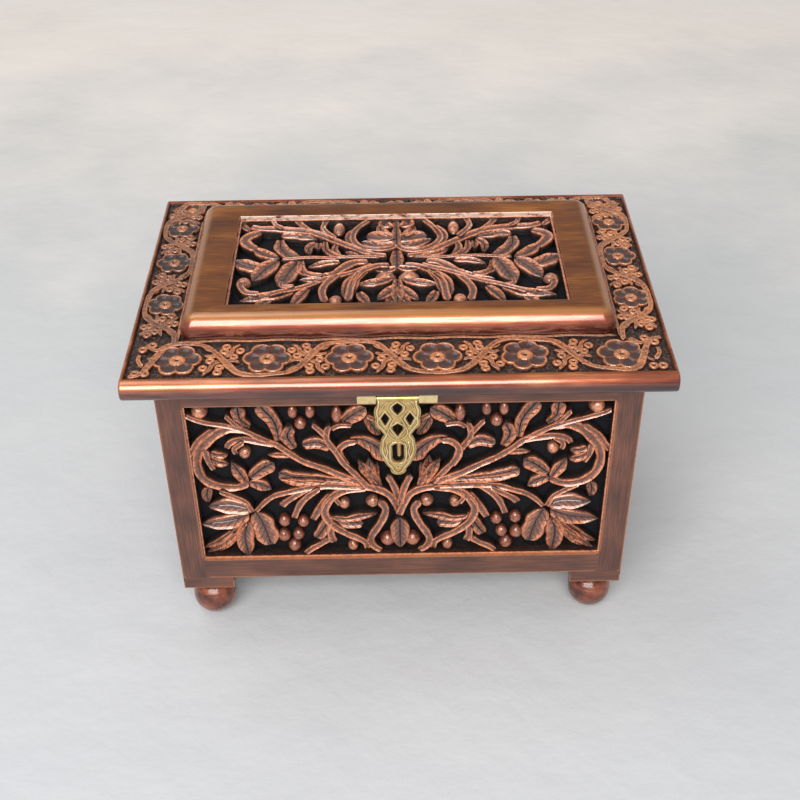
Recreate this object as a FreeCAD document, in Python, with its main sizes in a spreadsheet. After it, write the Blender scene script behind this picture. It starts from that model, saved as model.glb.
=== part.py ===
"""Carved wooden jewelry box with a hinged lid, a brass hasp and turned ball feet.

Millimetres, +Z up. The origin is on the table, under the middle of the lid's outline.
-Y is the front, where the hasp is, and the lid turns on two hinges at the back (+Y).
"""
import FreeCAD, Part
import os

import Sketcher
from FreeCAD import Placement, Rotation, Vector

os.makedirs("parts", exist_ok=True)
doc = FreeCAD.newDocument("JewelryBox")

# ---------------------------------------------------------------- driving dimensions
DIMENSIONS = [
    ("lid_width", 305.0, "lid board, side to side"),
    ("lid_depth", 206.0, "lid board, front to back"),
    ("lid_thickness", 11.5, "lid board"),
    ("lid_corner_round", 7.0, "lid board's corners in plan"),
    ("lid_top_round", 5.8, "upper half of the lid's rounded edge"),
    ("lid_bottom_round", 3.5, "lower half of the lid's rounded edge"),
    ("case_width", 274.0, "case, side to side"),
    ("case_depth", 177.8, "case, front to back"),
    ("case_top", 191.0, "height of the rim, where the lid rests"),
    ("foot_height", 32.0, "table to the underside of the foot blocks"),
    ("foot_block_side", 31.5, "square block that takes a foot"),
    ("foot_block_height", 8.9, "how far it drops below the rails"),
    ("post_side", 14.6, "square corner post, and the depth of the frames"),
    ("top_rail_height", 14.8, "upper rails"),
    ("bottom_rail_height", 15.3, "lower rails"),
    ("fret_recess", 4.0, "fretwork behind the face of its frame"),
    ("fret_thickness", 7.0, "pierced and carved panels"),
    ("back_panel_recess", 3.0, "plain back panel behind its frame"),
    ("floor_thickness", 6.0, "floor board"),
    ("flock_thickness", 2.0, "velvet-faced boards on the floor and in the lid"),
    ("lid_lining_gap", 2.4, "lid lining to the walls, all round"),
    ("moulding_half_width", 124.0, "raised frame on the lid, outside, from the middle"),
    ("moulding_front", 60.3, "its front edge, ahead of the middle"),
    ("moulding_back", 77.8, "its back edge, behind the middle"),
    ("moulding_height", 13.5, "raised frame above the lid board"),
    ("moulding_round", 6.0, "rounded upper outer edge"),
    ("window_half_width", 98.4, "opening in the raised frame, from the middle"),
    ("window_front", 44.9, "opening's front edge, ahead of the middle"),
    ("window_back", 55.7, "opening's back edge, behind the middle"),
    ("lid_fret_recess", 3.0, "lid fretwork below the raised frame's face"),
    ("ball_radius", 13.7, "turned ball foot"),
    ("ball_flat", 3.5, "radius of the flat that it stands on"),
    ("neck_radius", 7.5, "foot's neck"),
    ("collar_radius", 9.5, "foot's collar under the block"),
    ("collar_height", 2.6, "foot's collar"),
    ("tenon_radius", 4.0, "foot's tenon, glued into the block"),
    ("tenon_length", 7.0, "foot's tenon"),
    ("leaf_thickness", 1.2, "brass hinge and hasp leaves"),
    ("knuckle_radius", 2.0, "hinge and hasp knuckles"),
    ("knuckle_gap", 0.3, "end play between knuckles"),
    ("pin_radius", 1.0, "hinge and hasp pins"),
    ("pin_clearance", 0.05, "running clearance round a pin, on the radius"),
    ("pin_offset", 2.4, "hinge axis behind the back and below the lid"),
    ("hinge_spread", 80.0, "each hinge from the middle"),
    ("hinge_length", 30.0, "hinge, along its pin"),
    ("case_leaf_drop", 12.0, "case leaf, below the hinge axis"),
    ("lid_leaf_reach", 8.2, "lid leaf, behind the hinge axis"),
    ("screw_radius", 1.0, "wood screws, shank"),
    ("screw_head_radius", 2.0, "wood screws, countersunk head"),
    ("screw_length", 8.0, "wood screws"),
    ("screw_spread", 9.5, "hinge screws from the hinge's middle"),
    ("hasp_shift", 1.3, "hasp, left of the middle"),
    ("hasp_axis_front", 97.4, "hasp pin, ahead of the middle"),
    ("hasp_axis_height", 187.3, "hasp pin above the table"),
    ("strap_thickness", 1.5, "pierced hasp strap"),
    ("strap_knuckle_half", 11.15, "half of the strap's knuckle"),
    ("hasp_knuckle_start", 11.55, "outer hasp knuckles, from the hasp's middle"),
    ("hasp_half_length", 22.2, "half of the hasp's mounting leaf"),
    ("mount_leaf_reach", 8.2, "hasp's mounting leaf, behind its pin"),
    ("staple_front", 95.8, "front of the staple, ahead of the middle"),
    ("staple_height", 148.4, "middle of the staple above the table"),
    ("staple_half_span", 4.2, "staple legs, from its middle to a wire's centre"),
    ("staple_shift", 0.7, "staple, left of the middle"),
    ("staple_wire", 1.2, "radius of the staple's wire"),
]

sheet = doc.addObject("Spreadsheet::Sheet", "Dims")
for row, (alias, value, meaning) in enumerate(DIMENSIONS, start=1):
    sheet.set(f"A{row}", meaning)
    sheet.set(f"B{row}", str(value))
    sheet.setAlias(f"B{row}", alias)
doc.recompute()


def size(alias):
    """The value of one cell of the sheet, in millimetres."""
    return float(sheet.get(alias))


# Places that several pieces share, as expressions on the sheet's cells.
HALF_WIDTH = "(Dims.case_width / 2)"
HALF_DEPTH = "(Dims.case_depth / 2)"
POST = "Dims.post_side"
RAIL_UNDER = "(Dims.foot_height + Dims.foot_block_height)"
SILL = "(Dims.foot_height + Dims.foot_block_height + Dims.bottom_rail_height)"
LINTEL = "(Dims.case_top - Dims.top_rail_height)"
INNER_WIDTH = "(Dims.case_width - 2 * Dims.post_side)"
INNER_DEPTH = "(Dims.case_depth - 2 * Dims.post_side)"
LINER = "(Dims.post_side - Dims.fret_recess - Dims.fret_thickness)"
LID_TOP = "(Dims.case_top + Dims.lid_thickness)"
BACK_PANEL = "(Dims.post_side - Dims.back_panel_recess)"

nodes = {}


def bind(obj, **expressions):
    """Ties properties to expressions. A double underscore in a name stands for a dot."""
    for path, text in expressions.items():
        obj.setExpression(path.replace("__", "."), str(text))
    return obj


def put(obj, x="0", y="0", z="0"):
    """Ties an object's place to expressions."""
    return bind(obj, Placement__Base__x=x, Placement__Base__y=y, Placement__Base__z=z)


def keep(obj, name):
    """Makes obj the sub-part called name."""
    obj.Label = name
    nodes[name] = obj
    return obj


def block(name, length, width, height, x, y, z):
    """A rectangular piece with its low corner at x, y, z."""
    box = doc.addObject("Part::Box", name)
    bind(box, Length=length, Width=width, Height=height)
    return put(box, x, y, z)


def rod(name, radius, height, x, y, z, axis="z"):
    """A round rod that runs from x, y, z along +Z, +X or +Y."""
    cylinder = doc.addObject("Part::Cylinder", name)
    turn = {"z": Rotation(), "x": Rotation(Vector(0, 1, 0), 90), "y": Rotation(Vector(1, 0, 0), -90)}
    cylinder.Placement = Placement(Vector(), turn[axis])
    bind(cylinder, Radius=radius, Height=height)
    return put(cylinder, x, y, z)


def fuse(name, *pieces):
    """One solid of several that overlap."""
    union = doc.addObject("Part::MultiFuse", name)
    union.Shapes = list(pieces)
    union.Refine = True
    return union


def cut(name, base, tool):
    """base with tool taken out."""
    difference = doc.addObject("Part::Cut", name)
    difference.Base = base
    difference.Tool = tool
    return difference


def group(name, pieces):
    """Separate solids that are one sub-part."""
    compound = doc.addObject("Part::Compound", name)
    compound.Links = list(pieces)
    return compound


def round_edges(name, base, radius, wanted):
    """base with the edges for which wanted(edge) is true rounded to radius."""
    doc.recompute()
    fillet = doc.addObject("Part::Fillet", name)
    fillet.Base = base
    chosen = [i for i, edge in enumerate(base.Shape.Edges, start=1) if wanted(edge)]
    fillet.Edges = [(i, radius, radius) for i in chosen]
    doc.recompute()
    return fillet


def at_height(edge, height):
    """Whether both ends and the middle of an edge are at one height."""
    box = edge.BoundBox
    return abs(box.ZMin - height) < 0.01 and abs(box.ZMax - height) < 0.01


# ---------------------------------------------------------------- case frame
CORNERS = [
    ("front_left", -1, -1),
    ("front_right", 1, -1),
    ("rear_left", -1, 1),
    ("rear_right", 1, 1),
]


def low_side(half, piece, sign):
    """Low coordinate of a piece flush with the face at sign * half."""
    return f"-{half}" if sign < 0 else f"{half} - {piece}"


for corner, sx, sy in CORNERS:
    name = f"corner_post_{corner}"
    keep(
        block(
            name, POST, POST, f"Dims.case_top - {RAIL_UNDER}",
            low_side(HALF_WIDTH, POST, sx), low_side(HALF_DEPTH, POST, sy), RAIL_UNDER,
        ),
        name,
    )

RAILS = [("bottom_rail", "Dims.bottom_rail_height", RAIL_UNDER), ("top_rail", "Dims.top_rail_height", LINTEL)]
rails = {}
for kind, height, level in RAILS:
    for side, sign in (("front", -1), ("back", 1)):
        name = f"{kind}_{side}"
        rails[name] = block(
            name, INNER_WIDTH, POST, height,
            f"-{INNER_WIDTH} / 2", low_side(HALF_DEPTH, POST, sign), level,
        )
    for side, sign in (("left", -1), ("right", 1)):
        name = f"{kind}_{side}"
        rails[name] = block(
            name, POST, INNER_DEPTH, height,
            low_side(HALF_WIDTH, POST, sign), f"-{INNER_DEPTH} / 2", level,
        )
for name, rail in rails.items():
    if name != "top_rail_back":
        keep(rail, name)

# ---------------------------------------------------------------- foot blocks and turned feet
BLOCK_SIDE = "Dims.foot_block_side"


def foot_profile(body):
    """Half section of a foot: flat, ball, neck, collar and tenon, turned round Z."""
    sketch = body.newObject("Sketcher::SketchObject", "FootProfile")
    plane = [f for f in body.Origin.OriginFeatures if f.Role == "XZ_Plane"][0]
    sketch.AttachmentSupport = [(plane, "")]
    sketch.MapMode = "FlatFace"
    ball, flat, neck = size("ball_radius"), size("ball_flat"), size("neck_radius")
    collar, rise = size("collar_radius"), size("collar_height")
    tenon, stub, top = size("tenon_radius"), size("tenon_length"), size("foot_height")
    centre = (ball**2 - flat**2) ** 0.5
    shoulder = centre + (ball**2 - neck**2) ** 0.5
    points = [
        Vector(neck, shoulder, 0), Vector(neck, top - rise, 0), Vector(collar, top - rise, 0),
        Vector(collar, top, 0), Vector(tenon, top, 0), Vector(tenon, top + stub, 0),
        Vector(0, top + stub, 0), Vector(0, 0, 0), Vector(flat, 0, 0),
    ]
    lines = [
        sketch.addGeometry(Part.LineSegment(start, end), False)
        for start, end in zip(points, points[1:])
    ]
    arc = sketch.addGeometry(
        Part.Arc(points[-1], Vector(ball, centre, 0), points[0]), False
    )
    for before, after in zip(lines, lines[1:]):
        sketch.addConstraint(Sketcher.Constraint("Coincident", before, 2, after, 1))
    sketch.addConstraint(Sketcher.Constraint("Coincident", lines[-1], 2, arc, 1))
    sketch.addConstraint(Sketcher.Constraint("Coincident", arc, 2, lines[0], 1))
    for line in (lines[0], lines[2], lines[4], lines[6]):
        sketch.addConstraint(Sketcher.Constraint("Vertical", line))
    for line in (lines[1], lines[3], lines[5], lines[7]):
        sketch.addConstraint(Sketcher.Constraint("Horizontal", line))
    sketch.addConstraint(Sketcher.Constraint("Coincident", lines[6], 2, -1, 1))
    sketch.addConstraint(Sketcher.Constraint("PointOnObject", arc, 3, -2))
    sizes = [
        ("Radius", (arc,), ball, "Dims.ball_radius"),
        ("DistanceX", (-1, 1, lines[7], 2), flat, "Dims.ball_flat"),
        ("DistanceX", (-1, 1, lines[0], 1), neck, "Dims.neck_radius"),
        ("DistanceX", (-1, 1, lines[2], 1), collar, "Dims.collar_radius"),
        ("DistanceX", (-1, 1, lines[4], 1), tenon, "Dims.tenon_radius"),
        ("DistanceY", (lines[2], 1, lines[2], 2), rise, "Dims.collar_height"),
        ("DistanceY", (-1, 1, lines[2], 2), top, "Dims.foot_height"),
        ("DistanceY", (lines[4], 1, lines[4], 2), stub, "Dims.tenon_length"),
    ]
    for kind, where, value, expression in sizes:
        index = sketch.addConstraint(Sketcher.Constraint(kind, *where, value))
        sketch.setExpression(f"Constraints[{index}]", expression)
    return sketch


for corner, sx, sy in CORNERS:
    block_x = low_side(HALF_WIDTH, BLOCK_SIDE, sx)
    block_y = low_side(HALF_DEPTH, BLOCK_SIDE, sy)
    foot_x = f"{sx} * ({HALF_WIDTH} - {BLOCK_SIDE} / 2)"
    foot_y = f"{sy} * ({HALF_DEPTH} - {BLOCK_SIDE} / 2)"
    plain = block(
        f"foot_block_blank_{corner}", BLOCK_SIDE, BLOCK_SIDE, "Dims.foot_block_height",
        block_x, block_y, "Dims.foot_height",
    )
    bore = rod(
        f"foot_block_bore_{corner}", "Dims.tenon_radius", "Dims.tenon_length",
        foot_x, foot_y, "Dims.foot_height",
    )
    keep(cut(f"foot_block_{corner}", plain, bore), f"foot_block_{corner}")

    foot = doc.addObject("PartDesign::Body", f"foot_{corner}")
    profile = foot_profile(foot)
    turned = foot.newObject("PartDesign::Revolution", "Turned")
    turned.Profile = profile
    turned.ReferenceAxis = (profile, ["V_Axis"])
    turned.Angle = 360.0
    put(foot, foot_x, foot_y)
    keep(foot, f"foot_{corner}")

# ---------------------------------------------------------------- staple, before the fretwork it goes through
STAPLE_X = "-Dims.staple_shift"
BAR_Y = "-Dims.staple_front + Dims.staple_wire"
FRET_BACK = f"-{HALF_DEPTH} + Dims.fret_recess + Dims.fret_thickness"
staple_pieces = [
    rod(
        "staple_bar", "Dims.staple_wire", "2 * Dims.staple_half_span",
        STAPLE_X, BAR_Y, "Dims.staple_height - Dims.staple_half_span",
    )
]
for end, sign in (("lower", -1), ("upper", 1)):
    leg_z = f"Dims.staple_height + {sign} * Dims.staple_half_span"
    staple_pieces.append(
        rod(
            f"staple_leg_{end}", "Dims.staple_wire", f"{FRET_BACK} - ({BAR_Y})",
            STAPLE_X, BAR_Y, leg_z, axis="y",
        )
    )
    bend = doc.addObject("Part::Sphere", f"staple_bend_{end}")
    bind(bend, Radius="Dims.staple_wire")
    staple_pieces.append(put(bend, STAPLE_X, BAR_Y, leg_z))
staple = keep(fuse("hasp_staple", *staple_pieces), "hasp_staple")

# ---------------------------------------------------------------- panels, liners and floor
OPENING_HEIGHT = f"({LINTEL} - {SILL})"
front_blank = block(
    "fret_front_blank", INNER_WIDTH, "Dims.fret_thickness", OPENING_HEIGHT,
    f"-{INNER_WIDTH} / 2", f"-{HALF_DEPTH} + Dims.fret_recess", SILL,
)
keep(cut("fret_panel_front", front_blank, staple), "fret_panel_front")
keep(
    block(
        "back_panel", INNER_WIDTH, BACK_PANEL, OPENING_HEIGHT,
        f"-{INNER_WIDTH} / 2", f"{HALF_DEPTH} - {POST}", SILL,
    ),
    "back_panel",
)
keep(
    block(
        "liner_front", INNER_WIDTH, LINER, OPENING_HEIGHT,
        f"-{INNER_WIDTH} / 2", f"-{HALF_DEPTH} + {POST} - {LINER}", SILL,
    ),
    "liner_front",
)
for side, sign in (("left", -1), ("right", 1)):
    fret_x = (
        f"-{HALF_WIDTH} + Dims.fret_recess"
        if sign < 0
        else f"{HALF_WIDTH} - Dims.fret_recess - Dims.fret_thickness"
    )
    liner_x = f"-{HALF_WIDTH} + {POST} - {LINER}" if sign < 0 else f"{HALF_WIDTH} - {POST}"
    keep(
        block(
            f"fret_panel_{side}", "Dims.fret_thickness", INNER_DEPTH, OPENING_HEIGHT,
            fret_x, f"-{INNER_DEPTH} / 2", SILL,
        ),
        f"fret_panel_{side}",
    )
    keep(
        block(
            f"liner_{side}", LINER, INNER_DEPTH, OPENING_HEIGHT,
            liner_x, f"-{INNER_DEPTH} / 2", SILL,
        ),
        f"liner_{side}",
    )
keep(
    block(
        "floor_board", INNER_WIDTH, INNER_DEPTH, "Dims.floor_thickness",
        f"-{INNER_WIDTH} / 2", f"-{INNER_DEPTH} / 2", RAIL_UNDER,
    ),
    "floor_board",
)
keep(
    block(
        "floor_lining", INNER_WIDTH, INNER_DEPTH, "Dims.flock_thickness",
        f"-{INNER_WIDTH} / 2", f"-{INNER_DEPTH} / 2", f"{RAIL_UNDER} + Dims.floor_thickness",
    ),
    "floor_lining",
)

# ---------------------------------------------------------------- wood screws
AXIS_Y = f"({HALF_DEPTH} + Dims.pin_offset)"
AXIS_Z = "(Dims.case_top - Dims.pin_offset)"
UP = Rotation()
FORWARD = Rotation(Vector(1, 0, 0), 90)


def screw(name, x, y, z, turn):
    """A countersunk screw with its head's face at x, y, z, driven along the turned +Z."""
    shank = doc.addObject("Part::Cylinder", f"{name}_shank")
    head = doc.addObject("Part::Cone", f"{name}_head")
    bind(shank, Radius="Dims.screw_radius", Height="Dims.screw_length")
    bind(
        head, Radius1="Dims.screw_head_radius", Radius2="Dims.screw_radius",
        Height="Dims.leaf_thickness",
    )
    for piece in (shank, head):
        piece.Placement = Placement(Vector(), turn)
        put(piece, x, y, z)
    return fuse(name, shank, head)


case_screws = []
lid_screws = []
for side, sign in (("left", -1), ("right", 1)):
    for place in (-1, 1):
        screw_x = f"{sign} * Dims.hinge_spread + {place} * Dims.screw_spread"
        case_screws.append(
            screw(
                f"case_screw_{side}_{place + 2}", screw_x,
                f"{HALF_DEPTH} + Dims.leaf_thickness", f"{AXIS_Z} - 0.6 * Dims.case_leaf_drop", FORWARD,
            )
        )
        lid_screws.append(
            screw(
                f"lid_screw_{side}_{place + 2}", screw_x,
                f"{AXIS_Y} + 0.66 * Dims.lid_leaf_reach", "Dims.case_top - Dims.leaf_thickness", UP,
            )
        )
hasp_screws = [
    screw(
        f"hasp_screw_{place + 2}", f"-Dims.hasp_shift + {place} * 0.7 * Dims.hasp_half_length",
        "-Dims.hasp_axis_front + 0.6 * Dims.mount_leaf_reach", "Dims.case_top - Dims.leaf_thickness", UP,
    )
    for place in (-1, 1)
]
case_screw_group = keep(group("hinge_screws_case", case_screws), "hinge_screws_case")
lid_screw_group = keep(group("hinge_screws_lid", lid_screws), "hinge_screws_lid")
hasp_screw_group = keep(group("hasp_screws", hasp_screws), "hasp_screws")
keep(cut("top_rail_back_bored", rails["top_rail_back"], case_screw_group), "top_rail_back")

# ---------------------------------------------------------------- butt hinges
THIRD = "Dims.hinge_length / 3"
BORE = "Dims.pin_radius + Dims.pin_clearance"
for side, sign in (("left", -1), ("right", 1)):
    middle = f"{sign} * Dims.hinge_spread"
    start = f"{middle} - Dims.hinge_length / 2"
    plate = block(
        f"case_leaf_plate_{side}", "Dims.hinge_length", "Dims.leaf_thickness",
        "Dims.case_leaf_drop - Dims.pin_offset", start, HALF_DEPTH, f"{AXIS_Z} - Dims.case_leaf_drop",
    )
    pieces = [plate]
    for end, offset in (("a", "0"), ("b", f"2 * {THIRD}")):
        pieces.append(
            block(
                f"case_leaf_tab_{side}_{end}", THIRD, "Dims.leaf_thickness", "Dims.pin_offset",
                f"{start} + {offset}", HALF_DEPTH, f"{AXIS_Z} - Dims.pin_offset",
            )
        )
        pieces.append(
            rod(
                f"case_knuckle_{side}_{end}", "Dims.knuckle_radius", THIRD,
                f"{start} + {offset}", AXIS_Y, AXIS_Z, axis="x",
            )
        )
    pin = keep(
        rod(f"hinge_pin_{side}", "Dims.pin_radius", "Dims.hinge_length", start, AXIS_Y, AXIS_Z, axis="x"),
        f"hinge_pin_{side}",
    )
    tools = group(f"case_leaf_holes_{side}", [pin, *[c for c in case_screws if side in c.Name]])
    keep(
        cut(f"hinge_leaf_case_{side}", fuse(f"case_leaf_blank_{side}", *pieces), tools),
        f"hinge_leaf_case_{side}",
    )

    knuckle_start = f"{start} + {THIRD} + Dims.knuckle_gap"
    knuckle_length = f"{THIRD} - 2 * Dims.knuckle_gap"
    flap = block(
        f"lid_leaf_plate_{side}", "Dims.hinge_length", "Dims.lid_leaf_reach - Dims.pin_offset",
        "Dims.leaf_thickness", start, f"{AXIS_Y} + Dims.pin_offset", "Dims.case_top - Dims.leaf_thickness",
    )
    neck = block(
        f"lid_leaf_tab_{side}", knuckle_length, "Dims.pin_offset", "Dims.leaf_thickness",
        knuckle_start, AXIS_Y, "Dims.case_top - Dims.leaf_thickness",
    )
    knuckle = rod(
        f"lid_knuckle_{side}", "Dims.knuckle_radius", knuckle_length, knuckle_start, AXIS_Y, AXIS_Z, axis="x"
    )
    bore = rod(f"lid_knuckle_bore_{side}", BORE, "Dims.hinge_length", start, AXIS_Y, AXIS_Z, axis="x")
    tools = group(f"lid_leaf_holes_{side}", [bore, *[c for c in lid_screws if side in c.Name]])
    keep(
        cut(f"hinge_leaf_lid_{side}", fuse(f"lid_leaf_blank_{side}", flap, neck, knuckle), tools),
        f"hinge_leaf_lid_{side}",
    )

# ---------------------------------------------------------------- lid board, raised frame and fretwork
board = block(
    "lid_board_blank", "Dims.lid_width", "Dims.lid_depth", "Dims.lid_thickness",
    "-Dims.lid_width / 2", "-Dims.lid_depth / 2", "Dims.case_top",
)
lid_bottom, lid_top = size("case_top"), size("case_top") + size("lid_thickness")
board = round_edges(
    "lid_board_corners", board, size("lid_corner_round"), lambda edge: edge.BoundBox.ZLength > 1
)
board = round_edges(
    "lid_board_upper", board, size("lid_top_round"), lambda edge: at_height(edge, lid_top)
)
board = round_edges(
    "lid_board_lower", board, size("lid_bottom_round"), lambda edge: at_height(edge, lid_bottom)
)
keep(
    cut("lid_board", board, group("lid_board_holes", [lid_screw_group, hasp_screw_group])),
    "lid_board",
)


def moulding(side, outer, inner, near, far, turn):
    """One mitred member of the raised frame: a trapezoid in plan, from outer edge to inner edge.

    outer is its outer end points and near its distance from the middle; inner and far are the same
    for the edge round the window. The wedge tapers along its own +Y, which turn points inwards.
    """
    member = doc.addObject("Part::Wedge", f"moulding_blank_{side}")
    member.Placement = Placement(Vector(), Rotation(Vector(0, 0, 1), turn))
    bind(
        member, Xmin=outer[0], Xmax=outer[1], Ymin=near, Ymax=far, Zmin="0", Zmax="Dims.moulding_height",
        X2min=inner[0], X2max=inner[1], Z2min="0", Z2max="Dims.moulding_height",
    )
    put(member, z=LID_TOP)
    top = lid_top + size("moulding_height")
    doc.recompute()
    longest = max(e.Length for e in member.Shape.Edges if at_height(e, top))
    return keep(
        round_edges(
            f"lid_moulding_{side}", member, size("moulding_round"),
            lambda edge: at_height(edge, top) and edge.Length > longest - 0.01,
        ),
        f"lid_moulding_{side}",
    )


OUT_X, WIN_X = "Dims.moulding_half_width", "Dims.window_half_width"
OUT_F, OUT_B = "Dims.moulding_front", "Dims.moulding_back"
WIN_F, WIN_B = "Dims.window_front", "Dims.window_back"
moulding("front", (f"-{OUT_X}", OUT_X), (f"-{WIN_X}", WIN_X), f"-{OUT_F}", f"-{WIN_F}", 0)
moulding("back", (f"-{OUT_X}", OUT_X), (f"-{WIN_X}", WIN_X), f"-{OUT_B}", f"-{WIN_B}", 180)
moulding("left", (f"-{OUT_B}", OUT_F), (f"-{WIN_B}", WIN_F), f"-{OUT_X}", f"-{WIN_X}", -90)
moulding("right", (f"-{OUT_F}", OUT_B), (f"-{WIN_F}", WIN_B), f"-{OUT_X}", f"-{WIN_X}", 90)

FRET_TOP = f"({LID_TOP} + Dims.moulding_height - Dims.lid_fret_recess)"
keep(
    block(
        "lid_fret_panel", f"2 * {WIN_X}", f"{WIN_F} + {WIN_B}", "Dims.fret_thickness",
        f"-{WIN_X}", f"-{WIN_F}", f"{FRET_TOP} - Dims.fret_thickness",
    ),
    "lid_fret_panel",
)
keep(
    block(
        "lid_fret_backing", f"2 * {WIN_X}", f"{WIN_F} + {WIN_B}",
        f"{FRET_TOP} - Dims.fret_thickness - {LID_TOP}", f"-{WIN_X}", f"-{WIN_F}", LID_TOP,
    ),
    "lid_fret_backing",
)
keep(
    block(
        "lid_lining", f"{INNER_WIDTH} - 2 * Dims.lid_lining_gap", f"{INNER_DEPTH} - 2 * Dims.lid_lining_gap",
        "Dims.flock_thickness", f"-{INNER_WIDTH} / 2 + Dims.lid_lining_gap",
        f"-{INNER_DEPTH} / 2 + Dims.lid_lining_gap", "Dims.case_top - Dims.flock_thickness",
    ),
    "lid_lining",
)

# ---------------------------------------------------------------- hasp
HASP_Y = "-Dims.hasp_axis_front"
HASP_Z = "Dims.hasp_axis_height"
HASP_LOW = "-Dims.hasp_shift - Dims.hasp_half_length"
SHANK_BACK = "Dims.knuckle_radius - Dims.leaf_thickness"
hasp_pin = keep(
    rod(
        "hasp_pin", "Dims.pin_radius", "2 * Dims.hasp_half_length", HASP_LOW, HASP_Y, HASP_Z, axis="x"
    ),
    "hasp_pin",
)
leaf_pieces = [
    block(
        "mount_leaf_plate", "2 * Dims.hasp_half_length", f"Dims.mount_leaf_reach - ({SHANK_BACK})",
        "Dims.leaf_thickness", HASP_LOW, f"{HASP_Y} + {SHANK_BACK}", "Dims.case_top - Dims.leaf_thickness",
    )
]
OUTER_LENGTH = "(Dims.hasp_half_length - Dims.hasp_knuckle_start)"
for end, begin in (("a", HASP_LOW), ("b", "-Dims.hasp_shift + Dims.hasp_knuckle_start")):
    leaf_pieces.append(
        block(
            f"mount_leaf_tab_{end}", OUTER_LENGTH, "Dims.leaf_thickness", f"Dims.case_top - {HASP_Z}",
            begin, f"{HASP_Y} + {SHANK_BACK}", HASP_Z,
        )
    )
    leaf_pieces.append(
        rod(f"mount_knuckle_{end}", "Dims.knuckle_radius", OUTER_LENGTH, begin, HASP_Y, HASP_Z, axis="x")
    )
keep(
    cut(
        "hasp_mount_leaf", fuse("mount_leaf_blank", *leaf_pieces),
        group("mount_leaf_holes", [hasp_pin, hasp_screw_group]),
    ),
    "hasp_mount_leaf",
)

# The strap's outline on its right-hand side, from its top edge down to the tip, as offsets across
# and below the pin: a straight top, two lobes, a waist, two more lobes and a rounded tip.
# Each entry is the end of a stretch; a stretch with a second point bulges through that point.
STRAP_EDGE = [
    ((11.15, 0.0), None),
    ((11.3, -4.6), None),
    ((12.0, -14.0), (13.0, -9.3)),
    ((9.8, -21.8), (12.6, -18.0)),
    ((7.4, -25.8), None),
    ((9.6, -31.9), (9.3, -28.8)),
    ((8.9, -41.8), (10.4, -36.5)),
    ((4.5, -50.5), (7.2, -46.6)),
    ((0.0, -55.3), (3.6, -53.8)),
]
# Piercings as loops of arcs: (end point, point on the way), closed back to the first end.


def loop(middle, top, bottom, half, widest):
    """A drop or diamond: four arcs from its top round its widest points to its bottom."""
    bulge = 0.12 * half
    right, left = middle + half, middle - half
    return [
        ((middle, top), (middle + 0.62 * half + bulge, 0.55 * top + 0.45 * widest), (right, widest)),
        ((right, widest), (middle + 0.6 * half + bulge, 0.5 * bottom + 0.5 * widest), (middle, bottom)),
        ((middle, bottom), (middle - 0.6 * half - bulge, 0.5 * bottom + 0.5 * widest), (left, widest)),
        ((left, widest), (middle - 0.62 * half - bulge, 0.55 * top + 0.45 * widest), (middle, top)),
    ]


PIERCINGS = [
    loop(0.0, -3.0, -11.4, 2.75, -6.2),
    loop(-6.95, -9.8, -18.6, 2.15, -13.9),
    loop(6.95, -9.8, -18.6, 2.15, -13.9),
    loop(0.0, -17.8, -27.0, 3.0, -20.6),
]
SLOT_HALF, SLOT_TOP, SLOT_BOTTOM = 3.4, -32.2, -46.0

strap = doc.addObject("PartDesign::Body", "hasp_strap")
planes = {f.Role: f for f in strap.Origin.OriginFeatures}
outline = strap.newObject("Sketcher::SketchObject", "StrapOutline")
outline.AttachmentSupport = [(planes["XZ_Plane"], "")]
outline.MapMode = "FlatFace"


def draw(sketch, start, end, via=None):
    """A line, or an arc through via, between two points of the sketch."""
    a, b = Vector(*start, 0), Vector(*end, 0)
    sketch.addGeometry(Part.Arc(a, Vector(*via, 0), b) if via else Part.LineSegment(a, b), False)


def flip(point):
    """The same point on the strap's left-hand side."""
    return (-point[0], point[1]) if point else None


for (start, _), (end, via) in zip(STRAP_EDGE, STRAP_EDGE[1:]):
    draw(outline, start, end, via)
    draw(outline, flip(end), flip(start), flip(via))
draw(outline, flip(STRAP_EDGE[0][0]), STRAP_EDGE[0][0])
for piercing in PIERCINGS:
    for start, via, end in piercing:
        draw(outline, start, end, via)
SLOT_ROUND = 1.6
draw(outline, (-SLOT_HALF, SLOT_TOP - SLOT_ROUND), (SLOT_HALF, SLOT_TOP - SLOT_ROUND), (0, SLOT_TOP))
draw(outline, (SLOT_HALF, SLOT_TOP - SLOT_ROUND), (SLOT_HALF, SLOT_BOTTOM + SLOT_HALF))
draw(outline, (SLOT_HALF, SLOT_BOTTOM + SLOT_HALF), (-SLOT_HALF, SLOT_BOTTOM + SLOT_HALF), (0, SLOT_BOTTOM))
draw(outline, (-SLOT_HALF, SLOT_BOTTOM + SLOT_HALF), (-SLOT_HALF, SLOT_TOP - SLOT_ROUND))

sheet_metal = strap.newObject("PartDesign::Pad", "SheetMetal")
sheet_metal.Profile = outline
sheet_metal.SideType = "Symmetric"
bind(sheet_metal, Length="Dims.strap_thickness")


def round_section(name, radius):
    """A circle on the strap's YZ plane, round the pin."""
    sketch = strap.newObject("Sketcher::SketchObject", name)
    sketch.AttachmentSupport = [(planes["YZ_Plane"], "")]
    sketch.MapMode = "FlatFace"
    circle = sketch.addGeometry(Part.Circle(Vector(), Vector(0, 0, 1), 1.5), False)
    sketch.addConstraint(Sketcher.Constraint("Coincident", circle, 3, -1, 1))
    index = sketch.addConstraint(Sketcher.Constraint("Radius", circle, 1.5))
    sketch.setExpression(f"Constraints[{index}]", radius)
    return sketch


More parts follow.
